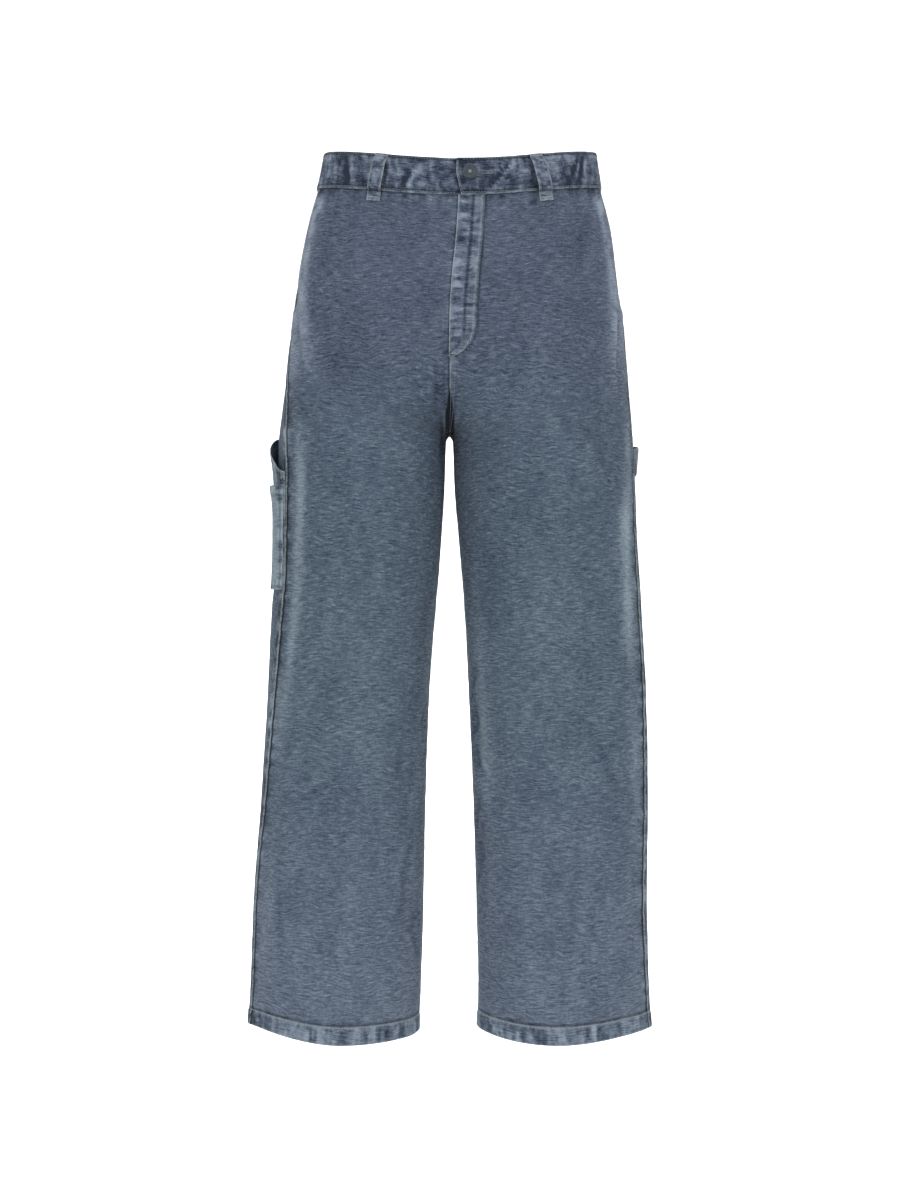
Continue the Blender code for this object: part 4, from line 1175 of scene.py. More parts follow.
def make_pocket_facing(side):
    """The cloth seen inside a slant pocket's mouth, caught in the side seam, with painted shadow under the
    front's cut edge.
    """
    drops = np.linspace(PANEL_TOP + 0.0006, MOUTH_DROP + 0.010, 70)
    part = np.linspace(0.0, 1.0, 28)[None, :]
    mouth = mouth_distance(drops)[:, None]
    distance = -(mouth + 0.012) * (1.0 - part) + 0.008 * part
    drop = np.broadcast_to(drops[:, None], distance.shape)
    turn = turn_at(side, "side", distance, drop)
    points, normals, light = lay(side, turn, drop, FACING_LIFT)
    beyond = mouth + distance
    # Painted shadow under the front's cut edge and at the mouth's foot.
    shade = 1.2 * bump(beyond - 0.0010, 0.0058)
    shade = shade + 1.1 * bump(drop - MOUTH_DROP + 0.006, 0.006) * (beyond > 0)
    light = 0.4 * light + 0.14 + 0.25 * rough(drop / 0.007, beyond / 0.006, 77)
    marks = wash_marks(side, turn, drop, light, np.zeros_like(turn), shade)
    uv = np.stack((turn * CLOTH_ACROSS_A_TURN, -drop), axis=-1)
    cloth = [canvas_material("pocket_canvas", tone=-0.04)]
    piece = sew("cloth_pocket_facing_" + SIDE_NAMES[side], points, normals, uv, marks, cloth, FACING_THICK)
    stands_for(piece, "canvas_inside", "pocket_facing_" + SIDE_NAMES[side])
    declare(points, MOUTH_TOP + 0.022, MOUTH_DROP - PANEL_TOP + 0.014)


def band_step(stop):
    """How far the lapped end stands out, and the end beneath it sinks in."""
    into_end = np.clip(1 - stop / BAND_STEP_LENGTH, 0.0, 1.0)
    into_start = np.clip((stop - (WAIST - BAND_STEP_LENGTH)) / BAND_STEP_LENGTH, 0.0, 1.0)
    return BAND_STEP_OUT * smooth_step(1.5 * into_end) - BAND_STEP_IN * smooth_step(1.5 * into_start)


def lapped_end(drop):
    """How far past the centre the band's upper end reaches, its lower corner cut back."""
    below = np.maximum(drop / BAND_HEIGHT - 0.4, 0.0) / 0.6
    return -0.0040 + 0.0060 * below


def make_waistband():
    """One strip round the waist: puckered, stitched along both edges, lapped in front."""
    stops = np.concatenate((
        np.linspace(0.0, 0.006, 7),
        np.linspace(0.006, WAIST - BAND_STEP_LENGTH, 300)[1:],
        np.linspace(WAIST - BAND_STEP_LENGTH, WAIST + UNDERLAP, 22)[1:],
    ))
    drops = np.concatenate((
        np.linspace(-0.0002, 0.0046, 6),
        np.linspace(0.0046, 0.0366, 9)[1:],
        np.linspace(0.0366, BAND_HEIGHT + 0.0004, 6)[1:],
    ))
    stop, drop = np.meshgrid(stops, drops)
    arcs = np.where(stop <= HALF_WAIST[LEFT], stop, stop - WAIST)
    arcs = arcs + lapped_end(drop) * np.clip(1 - stop / BAND_STEP_LENGTH, 0.0, 1.0)
    height, light = band_relief(arcs, drop)
    hidden = stop > WAIST - 0.006
    height = np.where(hidden, 0.2 * height, height)
    edge_fall = -0.0005 * bump(drop, 0.0012) - 0.0004 * bump(drop - BAND_HEIGHT, 0.0010)
    points, normals = round_waist(arcs, drop, BAND_FACE + band_step(stop) + height + edge_fall)
    worn = 0.55 + 0.45 * rough(arcs / 0.010, 0.0 * arcs, 63)
    edge = (0.75 * bump(drop - BAND_HEIGHT, 0.0014) + 0.55 * bump(drop, 0.0011)) * worn
    edge = edge + 0.9 * bump(stop, 0.0012)
    light = light + 0.75 * rough(arcs / 0.0040, drop / 0.006, 61)
    light = light + 0.75 * rough(arcs / 0.015, drop / 0.0055, 67) + 0.16
    # Painted shade along both stitch rows, partly unfaded cloth, and painted shadow beside each front and
    # side loop.
    shade = 0.9 * bump(drop - 0.0026, 0.0010) + 0.6 * bump(drop - BAND_HEIGHT + 0.0036, 0.0010)
    for _, arc_at, lean in BELT_LOOPS[:4]:
        from_loop = np.abs(arcs - arc_at - lean * drop / LOOP_FOOT) - LOOP_WIDTH / 2
        shade = shade + 0.7 * bump(from_loop - 0.0009, 0.0014)
    marks = wash_marks(LEFT, 0.2 + 0.0 * drop, 0.03 + 0.0 * drop, light, edge, shade)
    uv = np.stack((arcs, -drop), axis=-1)
    cloth = [canvas_material("band_canvas", tone=-0.02, mottle=1.5)]
    piece = sew("cloth_waistband", points, normals, uv, marks, cloth, BAND_THICK, rim=0.0009)
    stands_for(piece, "canvas_band", "waistband")
    declare(points, BAND_HEIGHT + 0.0016, float(stops[-1]) + 0.004)


BELT_LOOPS = (
    ("belt_loop_front_right", -0.0894, -0.004),
    ("belt_loop_front_left", 0.0863, 0.010),
    ("belt_loop_side_right", -0.278, 0.0),
    ("belt_loop_side_left", 0.278, 0.0),
    ("belt_loop_back", HALF_WAIST[LEFT], 0.0),
)
LOOP_FOOT = BAND_HEIGHT + LOOP_BELOW_BAND
LOOP_PATH = table(
    ("z", "lift"),
    (0.0000, BAND_FACE + LAY_GAP),
    (-0.0045, BAND_FACE + LAY_GAP + 0.0002),
    (-0.0100, BAND_FACE + LAY_GAP + 0.8 * LOOP_STANDS),
    (-0.0150, BAND_FACE + LAY_GAP + LOOP_STANDS),
    (-0.0330, BAND_FACE + LAY_GAP + LOOP_STANDS),
    (-0.0400, BAND_FACE + LAY_GAP + 0.8 * LOOP_STANDS),
    (-(LOOP_FOOT - 0.0065), LAY_GAP + 0.0004),
    (-LOOP_FOOT, LAY_GAP),
)


def loop_lift(drop):
    return np.array([look_up(LOOP_PATH, "lift", -d) for d in drop])


def make_belt_loop(name, arc_at, lean, seed):
    """A folded strip that stands off the band between its two tacked ends."""
    drops = np.linspace(0.0, LOOP_FOOT, 58)
    part = np.linspace(-0.5, 0.5, 13)
    aside, drop = np.meshgrid(part, drops)
    arcs = arc_at + lean * drop / LOOP_FOOT + LOOP_WIDTH * aside
    across = np.abs(aside) * 2
    ripple = rough(drop / 0.0055, aside * 2.0, seed) * (0.4 + 0.6 * across)
    profile = 0.0003 * (1 - across ** 2) - 0.0004 * bump(across - 1.0, 0.18)
    profile = profile - 0.00025 * bump(across - 0.74, 0.10)
    lift = loop_lift(drops)[:, None] + LOOP_CLOTH + profile + 0.00028 * ripple
    lift = lift - 0.0005 * bump(drop, 0.0010) - 0.0005 * bump(LOOP_FOOT - drop, 0.0010)
    points, normals = round_waist(arcs, drop, lift)
    edge = bump(across - 1.0, 0.15) + bump(LOOP_FOOT - drop, 0.0022) + 0.5 * bump(drop, 0.0014)
    # Painted shade along the stitch rows, and painted shadow below the band's lower edge.
    shade = 0.55 * bump(across - 0.74, 0.07) + 0.7 * bump(drop - BAND_HEIGHT - 0.002, 0.0016)
    light = ripple + 0.65 * rough(drop / 0.0035, aside * 3.5, seed + 50) + 0.16
    marks = wash_marks(LEFT, 0.3 + 0.0 * drop, 0.03 + drop, light, edge, shade)
    uv = np.stack((arcs, -drop), axis=-1)
    piece = sew("cloth_" + name, points, normals, uv, marks, [trim()], STRAP_THICK)
    stands_for(piece, "canvas_trim", name)
    declare(points, LOOP_WIDTH * 1.04, 0.0585)


def fly_width(drop):
    """How far the fly's facing reaches from the centre, curving in at its foot."""
    bend = np.clip((drop - (FLY_DROP - FLY_CURVE)) / FLY_CURVE, 0.0, 1.0)
    return FLY_WIDTH * np.sqrt(1.0 - bend ** 2)


def fly_lift(to_edge):
    """How far the facing stands off the front, less towards its stitched edge."""
    return 0.0005 + LAP_LIFT * smooth_step((to_edge - 0.001) / 0.012)


FLY_COLUMNS = (
    0.0, 0.015, 0.03, 0.06, 0.11, 0.18, 0.26, 0.36, 0.46,
    0.56, 0.66, 0.74, 0.80, 0.86, 0.91, 0.95, 0.98, 1.0,
)


def make_fly():
    """The fly's facing, with its folded edge, J-shaped foot and drawn-up stitching."""
    straight = np.linspace(PANEL_TOP + 0.0004, FLY_DROP - FLY_CURVE, 80)
    curved = FLY_DROP - FLY_CURVE + FLY_CURVE * np.sin(np.radians(np.linspace(0, 88, 22)[1:]))
    drops = np.concatenate((straight, curved))
    width = fly_width(drops)[:, None]
    distance = -0.0010 + (width + 0.0010) * np.array([FLY_COLUMNS])
    drop = np.broadcast_to(drops[:, None], distance.shape)
    turn = turn_at(LEFT, "front", np.maximum(distance, 0.0), drop)
    to_edge = width - distance
    ripple = rough(drop / 0.0050, distance / 0.040, 91) + 0.5 * rough(drop / 0.0026, distance / 0.008, 93)
    drawn = 0.00050 * ripple * (0.25 + 0.75 * bump(to_edge - 0.004, 0.006) + 0.5 * bump(distance, 0.006))
    lift = fly_lift(to_edge) - 0.0005 * bump(distance + 0.001, 0.0010)
    lift = lift - THREAD_DENT * dents(to_edge, FLY_ROWS) + drawn
    points, normals, light = lay(LEFT, turn, drop, lift)
    points[..., 0] += np.minimum(distance, 0.0)
    edge = 0.95 * bump(distance + 0.0009, 0.0011) + 0.55 * bump(to_edge - 0.0032, 0.0013)
    # Painted shade at the stitched edge and in the stitch rows, partly unfaded cloth, and darker along the
    # middle line.
    shade = 0.30 * bump(to_edge - 0.0001, 0.0006)
    shade = shade + 0.45 * (bump(to_edge - FLY_ROWS[0], 0.0007) + bump(to_edge - 0.0132, 0.0009))
    light = light + ripple * (bump(to_edge - 0.006, 0.006) + bump(distance - 0.007, 0.007)) + 0.18
    light = light + 0.40 * rough(distance / 0.004, drop / 0.006, 95) - 0.5 * bump(to_edge - 0.0132, 0.0014)
    marks = wash_marks(LEFT, turn, drop, light, edge, shade)
    uv = np.stack((distance, -drop), axis=-1)
    piece = sew("cloth_fly", points, normals, uv, marks, [trim()], FLY_THICK)
    stands_for(piece, "canvas_trim", "fly")
    declare(points, FLY_WIDTH + 0.002, FLY_DROP - PANEL_TOP + 0.002)


def tool_mouth(part):
    return TOOL_MOUTH_FRONT + (TOOL_MOUTH_BACK - TOOL_MOUTH_FRONT) * np.sin(part * math.pi / 2)


def pocket_lift(part, below):
    """How far the tool pocket's back face stands off the panel."""
    on_lap = 0.0012 * smooth_step((0.125 - part) / 0.02)
    across = np.sin(math.pi * np.clip(part, 0, 1) ** TOOL_GAPE_LEAN) ** 0.8
    down = np.maximum(1.0 - below / TOOL_GAPE_DEPTH, 0.0) ** 1.6
    return LAY_GAP + on_lap + TOOL_GAPE * across * down


POCKET_COLUMNS = np.concatenate((
    np.linspace(0, 0.10, 9), np.linspace(0.10, 0.92, 42)[1:], np.linspace(0.92, 1.0, 8)[1:],
))


def flat_pocket(name, rows, mouth, lift_at, seed, hem, wear, tone):
    """A pocket on the right thigh, from its hemmed mouth down to its foot."""
    across, down = np.meshgrid(POCKET_COLUMNS, rows)
    mouth = mouth(across)
    drop = mouth + (TOOL_FOOT - mouth) * down
    turn = turn_at(RIGHT, "side", SIDE_GAP + TOOL_WIDTH * across, drop)
    below, foot = drop - mouth, TOOL_FOOT - drop
    sides = np.minimum(across, 1 - across) * TOOL_WIDTH
    rim = np.minimum(sides, foot)
    hem_end, hem_lift, hem_rows, shaded = hem
    at_ends = bump(below - 0.004, 0.010) + bump(foot, 0.008)
    ripple = rough(drop / 0.0085, across * 3, seed) * bump(sides, 0.008)
    ripple = ripple + rough(across * TOOL_WIDTH / 0.008, drop / 0.03, seed + 2) * at_ends
    lift = lift_at(across, drop, ripple) - 0.0011 * bump(across, 0.03)
    lift = lift + hem_lift * smooth_step((hem_end - below) / 0.001)
    lift = lift - THREAD_DENT * dents(below, hem_rows, 0.0008)
    lift = lift - 0.0006 * bump(rim, 0.0010) - THREAD_DENT * bump(rim - 0.0018, 0.0007)
    points, normals, light = lay(RIGHT, turn, drop, lift)
    edge = 0.8 * bump(below, 0.0010) + wear * bump(rim, 0.0010)
    # Painted shade under the hem's stitching and just inside the stitched rim.
    shade = 0.5 * bump(below - shaded, 0.0009) + 0.45 * bump(rim - 0.0034, 0.0012)
    marks = wash_marks(RIGHT, turn, drop, light + 1.3 * ripple + tone, edge, shade)
    uv = np.stack((across * TOOL_WIDTH, -drop), axis=-1)
    cloth = [trim(), canvas_material("canvas_reverse")]
    piece = sew("cloth_" + name, points, normals, uv, marks, cloth, POCKET_THICK)
    stands_for(piece, "canvas_trim", name)
    return piece, points


def make_tool_pocket():
    """The long pocket whose slanted mouth stands open beside the side seam."""
    rows = np.concatenate((
        np.linspace(0, 0.10, 12), np.linspace(0.10, 0.94, 52)[1:], np.linspace(0.94, 1.0, 8)[1:],
    ))

    def lift_at(across, drop, ripple):
        below = np.maximum(drop - tool_mouth(across), 0)
        return pocket_lift(across, below) + CLOTH_LIFT + 0.0004 * ripple

    hem = (0.0095, 0.0006, TOOL_ROWS, 0.0105)
    piece, points = flat_pocket("tool_pocket", rows, tool_mouth, lift_at, 101, hem, 0.65, 0.38)
    declare(points, TOOL_WIDTH * 1.04, TOOL_FOOT - TOOL_MOUTH_BACK + 0.006)


def slot_gape(across, drop):
    """How far the laid-on pocket stands off, most at the middle of its mouth."""
    down = (drop - SLOT_MOUTH) / (TOOL_FOOT - SLOT_MOUTH)
    return SLOT_GAPE * np.sin(math.pi * across) * (1.0 - down) ** 2


def make_tool_slot():
    """The shorter pocket laid on the tool pocket, with its own hemmed mouth."""
    rows = np.concatenate((
        np.linspace(0, 0.11, 12), np.linspace(0.11, 0.92, 36)[1:], np.linspace(0.92, 1.0, 8)[1:],
    ))

    def mouth(across):
        return np.full_like(across, SLOT_MOUTH)

    def lift_at(across, drop, ripple):
        gape = slot_gape(across, drop)
        beneath = pocket_lift(across, drop - tool_mouth(across)) + CLOTH_LIFT + LAY_GAP
        return beneath + CLOTH_LIFT + gape + 0.00035 * ripple

    hem = (0.0112, 0.0005, SLOT_ROWS, 0.0120)
    piece, points = flat_pocket("tool_slot", rows, mouth, lift_at, 105, hem, 0.75, 0.62)
    declare(points, TOOL_WIDTH * 1.04, TOOL_FOOT - SLOT_MOUTH + 0.004)


def hammer_lift(part):
    bow = np.sin(math.pi * np.clip((part - 0.05) / 0.90, 0.0, 1.0)) ** 1.2
    on_lap = 0.0012 * smooth_step((LAP_WIDTH + 0.006 - HAMMER_LENGTH * part) / 0.004)
    return LAY_GAP + on_lap + HAMMER_STANDS * bow


def hammer_place(along, down):
    """A spot on the strap: its distance from the side seam, and its drop."""
    distance = HAMMER_START + HAMMER_LENGTH * along
    return distance, HAMMER_DROP - HAMMER_RISE * along + HAMMER_HEIGHT * down


HAMMER_ROWS = (0.0, 0.02, 0.05, 0.10, 0.18, 0.30, 0.42, 0.54, 0.66, 0.78, 0.88, 0.94, 0.98, 1.0)


def make_hammer_loop():
    """The strap that bows out behind the wearer's left side seam."""
    part = np.linspace(0.0, 1.0, 76)
    along, down = np.meshgrid(part, HAMMER_ROWS)
    distance, drop = hammer_place(along, down)
    across = np.abs(down * 2 - 1)
    ripple = rough(distance / 0.0065, down * 1.5, 111) * (0.35 + 0.65 * across)
    lift = hammer_lift(along) * (1.0 - HAMMER_TAPER * down) + LOOP_CLOTH + 0.00035 * ripple
    lift = lift - 0.0005 * bump(across - 1.0, 0.07) - THREAD_DENT * bump(across - 0.86, 0.05)
    lift = lift - 0.0006 * dents(distance, (HAMMER_START, HAMMER_START + HAMMER_LENGTH), 0.0012)
    points, normals, light = lay(LEFT, turn_at(LEFT, "side", distance, drop), drop, lift)
    ends = np.minimum(along, 1 - along) * HAMMER_LENGTH
    edge = 0.8 * bump(across - 1.0, 0.05) + 0.8 * bump(ends, 0.0014)
    light = light + 0.9 * ripple + 0.26
    # Painted shade along the stitch rows.
    shade = 0.4 * bump(across - 0.70, 0.06)
    marks = wash_marks(LEFT, 0.62 + 0.0 * drop, drop, light, edge, shade)
    uv = np.stack((distance, -drop), axis=-1)
    piece = sew("cloth_hammer_loop", points, normals, uv, marks, [trim()], STRAP_THICK)
    stands_for(piece, "canvas_trim", "hammer_loop")
    declare(points, HAMMER_HEIGHT * 1.04, HAMMER_LENGTH + 0.010)


# Thread

def stitch_shape():
    """One stitch: a slim spindle along X, half a unit each way."""
    bm = bmesh.new()
    bmesh.ops.create_uvsphere(bm, u_segments=4, v_segments=4, radius=0.5)
    bmesh.ops.rotate(bm, verts=bm.verts, cent=(0, 0, 0), matrix=Matrix.Rotation(math.pi / 2, 3, "Y"))
    bmesh.ops.rotate(bm, verts=bm.verts, cent=(0, 0, 0), matrix=Matrix.Rotation(math.pi / 4, 3, "X"))
    bmesh.ops.triangulate(bm, faces=bm.faces)
    points = np.array([corner.co[:] for corner in bm.verts])
    faces = np.array([[corner.index for corner in face.verts] for face in bm.faces])
    bm.free()
    return points, faces


def run_of_stitches(points, normals, pitch, length, crosswise=False):
    """Places along a line for stitches: their middles, directions, normals and lengths."""
    steps = np.linalg.norm(np.diff(points, axis=0), axis=1)
    along = np.concatenate(([0.0], np.cumsum(steps)))
    count = max(int(along[-1] / pitch), 1)
    wanted = (np.arange(count) + 0.5) * along[-1] / count

    def at(values, where):
        return np.stack([np.interp(where, along, values[:, k]) for k in range(3)], axis=1)

    middle, out = at(points, wanted), unit(at(normals, wanted))
    ahead = unit(at(points, wanted + 0.3 * pitch) - at(points, wanted - 0.3 * pitch))
    if crosswise:
        ahead = unit(np.cross(out, ahead))
    return middle, ahead, out, np.full(count, length)


def row_of(points, normals, longer=1.0):
    """A row of ordinary stitches along a line."""
    sizes = settings()
    return run_of_stitches(points, normals, sizes.stitch_pitch, longer * sizes.stitch_length)


def make_threads(name, runs, thick, made):
    """Joins the stitches of many runs into one piece of thread."""
    shape, faces = stitch_shape()
    middle, ahead, out, length = (np.concatenate([run[k] for run in runs]) for k in range(4))
    aside = unit(np.cross(out, ahead))
    out = np.cross(ahead, aside)
    wide, high = np.full_like(length, thick), np.full_like(length, 0.8 * thick)
    scaled = shape[None] * np.stack((length, wide, high), axis=1)[:, None]
    points = middle[:, None]
    for k, direction in enumerate((ahead, aside, out)):
        points = points + scaled[..., k:k + 1] * direction[:, None]
    corners = faces[None] + (np.arange(len(middle)) * len(shape))[:, None, None]
    mesh = bpy.data.meshes.new(name)
    mesh.from_pydata(points.reshape(-1, 3), [], corners.reshape(-1, 3))
    mesh.shade_smooth()
    mesh.materials.append(made)
    piece = shown(mesh, name)
    stands_for(piece, "canvas_trim")


def on_side(side, name, distance, drop, lift):
    """A line on the cloth, from distances and drops of the same length."""
    distance, drop = grids(distance, drop)
    points, normals, _ = lay(side, turn_at(side, name, distance, drop), drop, lift)
    return points, normals


def tack(points, normals, width):
    """A bar tack: close crosswise stitches along a short line."""
    return run_of_stitches(points, normals, 0.00062, width, crosswise=True)


def seam_threads():
    """Double rows down the side seams and the seat, and the centre-front lap."""
    runs = []
    for side in (RIGHT, LEFT):
        drops = np.linspace(PANEL_TOP + 0.001, PANEL_FOOT - 0.002, 500)
        for distance in LAP_ROWS:
            runs.append(row_of(*on_side(side, "side", distance, drops, 0.0009)))
    fronts = np.linspace(FLY_DROP + 0.003, RISE_END - 0.012, 120)
    backs = np.linspace(PANEL_TOP + 0.001, RISE_END - 0.012, 200)
    for distance in CENTRE_ROWS:
        runs.append(row_of(*on_side(LEFT, "front", distance, fronts, 0.0009)))
    for distance in SEAT_ROWS:
        width = arc(LEFT, "back", backs)
        runs.append(row_of(*on_side(LEFT, "side", width - distance, backs, 0.0008)))
    return runs


def hem_threads():
    """The chained line that holds each folded hem."""
    runs = []
    for side in (RIGHT, LEFT):
        turns = np.linspace(0.0, 1.0, 400)
        points, normals, _ = lay(side, turns, PANEL_FOOT - HEM_STITCH, 0.0005)
        runs.append(row_of(points, normals, 1.12))
    return runs


def band_threads():
    """Lines along the band's top and bottom edges and its lapped end."""
    runs = []
    stops = np.linspace(0.003, WAIST - 0.004, 900)
    for drop in BAND_ROWS:
        arcs = np.where(stops <= HALF_WAIST[LEFT], stops, stops - WAIST)
        height, _ = band_relief(arcs, np.full_like(arcs, drop))
        runs.append(row_of(*round_waist(arcs, drop, BAND_FACE + band_step(stops) + height + 0.0001)))
    drops = np.linspace(0.003, BAND_HEIGHT - 0.003, 40)
    height, _ = band_relief(0.0 * drops, drops)
    lift = BAND_FACE + BAND_STEP_OUT + height + 0.0001
    runs.append(row_of(*round_waist(0.0022 + lapped_end(drops), drops, lift)))
    return runs


def buttonhole_threads():
    """Close stitches round a keyhole that runs from the button towards the side."""
    length, half = 0.0235, 0.0015
    straight = np.linspace(0.0015, length, 40)
    end = np.radians(np.linspace(90, -90, 14))
    arcs = np.concatenate((straight, length + 0.0018 * np.cos(end), straight[::-1]))
    drops = np.concatenate((np.full(40, -half), -0.0021 * np.sin(end), np.full(40, half)))
    arcs, drops = arcs + BUTTON_ARC, drops + BUTTON_DROP + 0.0004
    height, _ = band_relief(arcs, drops)
    lift = BAND_FACE + band_step(np.maximum(arcs, 0.0)) + height + 0.00012
    points, normals = round_waist(arcs, drops, lift)
    return [run_of_stitches(points, normals, 0.00060, 0.0019, crosswise=True)]


def loop_threads():
    """Two rows along each belt loop, with a tack at each end."""
    rows, tacks = [], []
    for _, arc_at, lean in BELT_LOOPS:
        drops = np.linspace(0.001, LOOP_FOOT - 0.001, 60)
        for aside in LOOP_ROWS:
            arcs = arc_at + lean * drops / LOOP_FOOT + LOOP_WIDTH * aside
            rows.append(row_of(*round_waist(arcs, drops, loop_lift(drops) + LOOP_CLOTH + 0.00005)))
        for drop in (0.0030, LOOP_FOOT - 0.0040):
            part = np.linspace(-0.40, 0.40, 12)
            arcs = arc_at + lean * drop / LOOP_FOOT + LOOP_WIDTH * part
            level = float(loop_lift(np.array([drop]))[0])
            tacks.append(tack(*round_waist(arcs, drop, level + LOOP_CLOTH + 0.00022), 0.0019))
    return rows, tacks


def fly_threads():
    """The J of two rows, and the tack at its foot."""
    rows = []
    for inset in FLY_ROWS:
        straight = np.linspace(PANEL_TOP + 0.002, FLY_DROP - FLY_CURVE, 120)
        angles = np.radians(np.linspace(0, 90, 40)[1:])
        drops = np.concatenate((straight, straight[-1] + (FLY_CURVE - inset) * np.sin(angles)))
        width = FLY_WIDTH - inset
        distance = np.concatenate((np.full(120, width), width * np.cos(angles)))
        rows.append(row_of(*on_side(LEFT, "front", np.maximum(distance, 0.0006), drops, fly_lift(inset))))
    line = np.linspace(-0.0005, 0.0105, 16)
    drop = np.full(16, FLY_DROP - 0.0035)
    return rows, [tack(*on_side(LEFT, "front", np.maximum(line, 0.0), drop, 0.0013), 0.0022)]


def mouth_threads():
    """Two rows along each slant pocket, with a tack at each end."""
    rows, tacks = [], []
    for side in (RIGHT, LEFT):
        drops = np.linspace(PANEL_TOP + 0.002, MOUTH_DROP - 0.001, 120)
        for inset in MOUTH_ROWS:
            width = arc(side, "front", drops) - mouth_distance(drops) - inset
            rows.append(row_of(*on_side(side, "front", width, drops, 0.0008)))
        line = np.linspace(-0.001, 0.0085, 14)
        drop = np.full(14, MOUTH_DROP + 0.001)
        width = arc(side, "front", drop) - mouth_distance(drop[0] - 0.003) - line
        tacks.append(tack(*on_side(side, "front", width, drop, 0.0012), 0.0020))
    return rows, tacks


def on_pocket(across, drop, extra):
    """A line on the tool pocket's outer face."""
    across, drop = grids(across, drop)
    lift = pocket_lift(across, np.maximum(drop - tool_mouth(across), 0)) + CLOTH_LIFT + extra
    return on_side(RIGHT, "side", SIDE_GAP + TOOL_WIDTH * across, drop, lift)


def tool_threads():
    """Rows round the tool pocket and its slot, their hems, and the hammer loop's."""
    part = np.linspace(0.015, 0.985, 120)
    slot = LAY_GAP + CLOTH_LIFT
    gape = SLOT_GAPE * np.sin(math.pi * part)
    rows = [row_of(*on_pocket(part, tool_mouth(part) + inset, 0.0005)) for inset in TOOL_ROWS]
    rows += [row_of(*on_pocket(part, SLOT_MOUTH + inset, slot + gape + 0.0003)) for inset in SLOT_ROWS]
    tacks = []
    for across in (0.019, 0.981):
        drops = np.linspace(SLOT_MOUTH + 0.002, TOOL_FOOT - 0.002, 120)
        rows.append(row_of(*on_pocket(across, drops, slot + slot_gape(across, drops))))
        start = float(tool_mouth(across)) + 0.001
        rows.append(row_of(*on_pocket(across, np.linspace(start, SLOT_MOUTH - 0.001, 40), 0.0)))
        tacks.append(tack(*on_pocket(across, np.linspace(start, start + 0.009, 12), 0.0002), 0.0020))
    rows.append(row_of(*on_pocket(part, TOOL_FOOT - 0.0018, slot)))
    along = np.linspace(0.01, 0.99, 140)
    for down in (0.07, 0.93):
        lift = hammer_lift(along) * (1.0 - HAMMER_TAPER * down) + LOOP_CLOTH
        rows.append(row_of(*on_side(LEFT, "side", *hammer_place(along, down), lift)))
    for end in (0.03, 0.97):
        lift = float(hammer_lift(end)) + LOOP_CLOTH + 0.0002
        distance, drop = hammer_place(end, np.linspace(0.08, 0.92, 30))
        tacks.append(tack(*on_side(LEFT, "side", distance, drop, lift), 0.0020))
    return rows, tacks


# The button

def button_material():
    """Cast resin, mottled."""
    made, tree, shader, place = new_material("button_resin")
    look = bpy.context.scene.pants_look
    swirl = noise_node(tree, place, 260.0, 4.0, 0.6)
    fine = noise_node(tree, place, 1800.0, 2.0, 0.6)
    dark = tuple(0.72 * c for c in look.button)
    light = tuple(1.35 * c for c in look.button)
    tree.links.new(mix_colour(tree, swirl, dark, light), shader.inputs["Base Color"])
    dullness = math_node(tree, "ADD", math_node(tree, "MULTIPLY", fine, 0.22), 0.34)
    tree.links.new(dullness, shader.inputs["Roughness"])
    raise_surface(tree, fine, 0.15, 0.0001)
    return made


def button_place():
    lap_face = BAND_FACE + BAND_STEP_OUT
    seat, out = round_waist(np.array([BUTTON_ARC]), BUTTON_DROP, lap_face + 0.0007)
    turn = Vector(out[0]).to_track_quat("Z", "Y").to_matrix().to_4x4()
    return Matrix.Translation(Vector(seat[0])) @ turn


def make_button():
    """A turned button with a raised rim, a dished middle and four holes."""
    r, t = BUTTON_RADIUS, BUTTON_THICK
    profile = (
        (0.0, 0.0), (0.70, 0.0), (0.88, 0.10), (0.97, 0.30), (1.0, 0.52), (0.985, 0.76), (0.93, 0.93),
        (0.86, 1.0), (0.78, 0.98), (0.71, 0.86), (0.64, 0.70), (0.54, 0.62), (0.30, 0.60), (0.0, 0.60),
    )
    bm = bmesh.new()
    corners = [bm.verts.new((out * r, 0.0, up * t)) for out, up in profile]
    edges = [bm.edges.new(pair) for pair in zip(corners, corners[1:])]
    bmesh.ops.spin(
        bm, geom=corners + edges, cent=(0, 0, 0), axis=(0, 0, 1),
        angle=math.tau, steps=56, use_merge=True, use_duplicate=False,
    )
    bmesh.ops.remove_doubles(bm, verts=bm.verts, dist=1e-6)
    bm.normal_update()
    bmesh.ops.recalc_face_normals(bm, faces=bm.faces)
    mesh = bpy.data.meshes.new("button_body")
    bm.to_mesh(mesh)
    bm.free()
    body = shown(mesh, "button_body")
    drill = bmesh.new()
    for k in range(4):
        angle = math.radians(45 + 90 * k)
        at = Matrix.Translation((0.26 * r * math.cos(angle), 0.26 * r * math.sin(angle), 0.3 * t))
        bmesh.ops.create_cone(
            drill, cap_ends=True, segments=16, radius1=HOLE_RADIUS, radius2=HOLE_RADIUS,
            depth=4 * t, matrix=at,
        )
    holes_mesh = bpy.data.meshes.new("holes")
    drill.to_mesh(holes_mesh)
    drill.free()
    holes = shown(holes_mesh, "holes")
    cut = body.modifiers.new("Four holes", "BOOLEAN")
    cut.operation = "DIFFERENCE"
    cut.object = holes
    cut.solver = "EXACT"
    drilled = bpy.data.meshes.new_from_object(body.evaluated_get(bpy.context.evaluated_depsgraph_get()))
    bpy.data.objects.remove(body, do_unlink=True)
    bpy.data.objects.remove(holes, do_unlink=True)
    drilled.transform(button_place())
    drilled.shade_smooth()
    drilled.set_sharp_from_angle(angle=math.radians(50))
    drilled.materials.clear()
    drilled.materials.append(button_material())
    piece = shown(drilled, "turned_button")
    stands_for(piece, "button", "button")


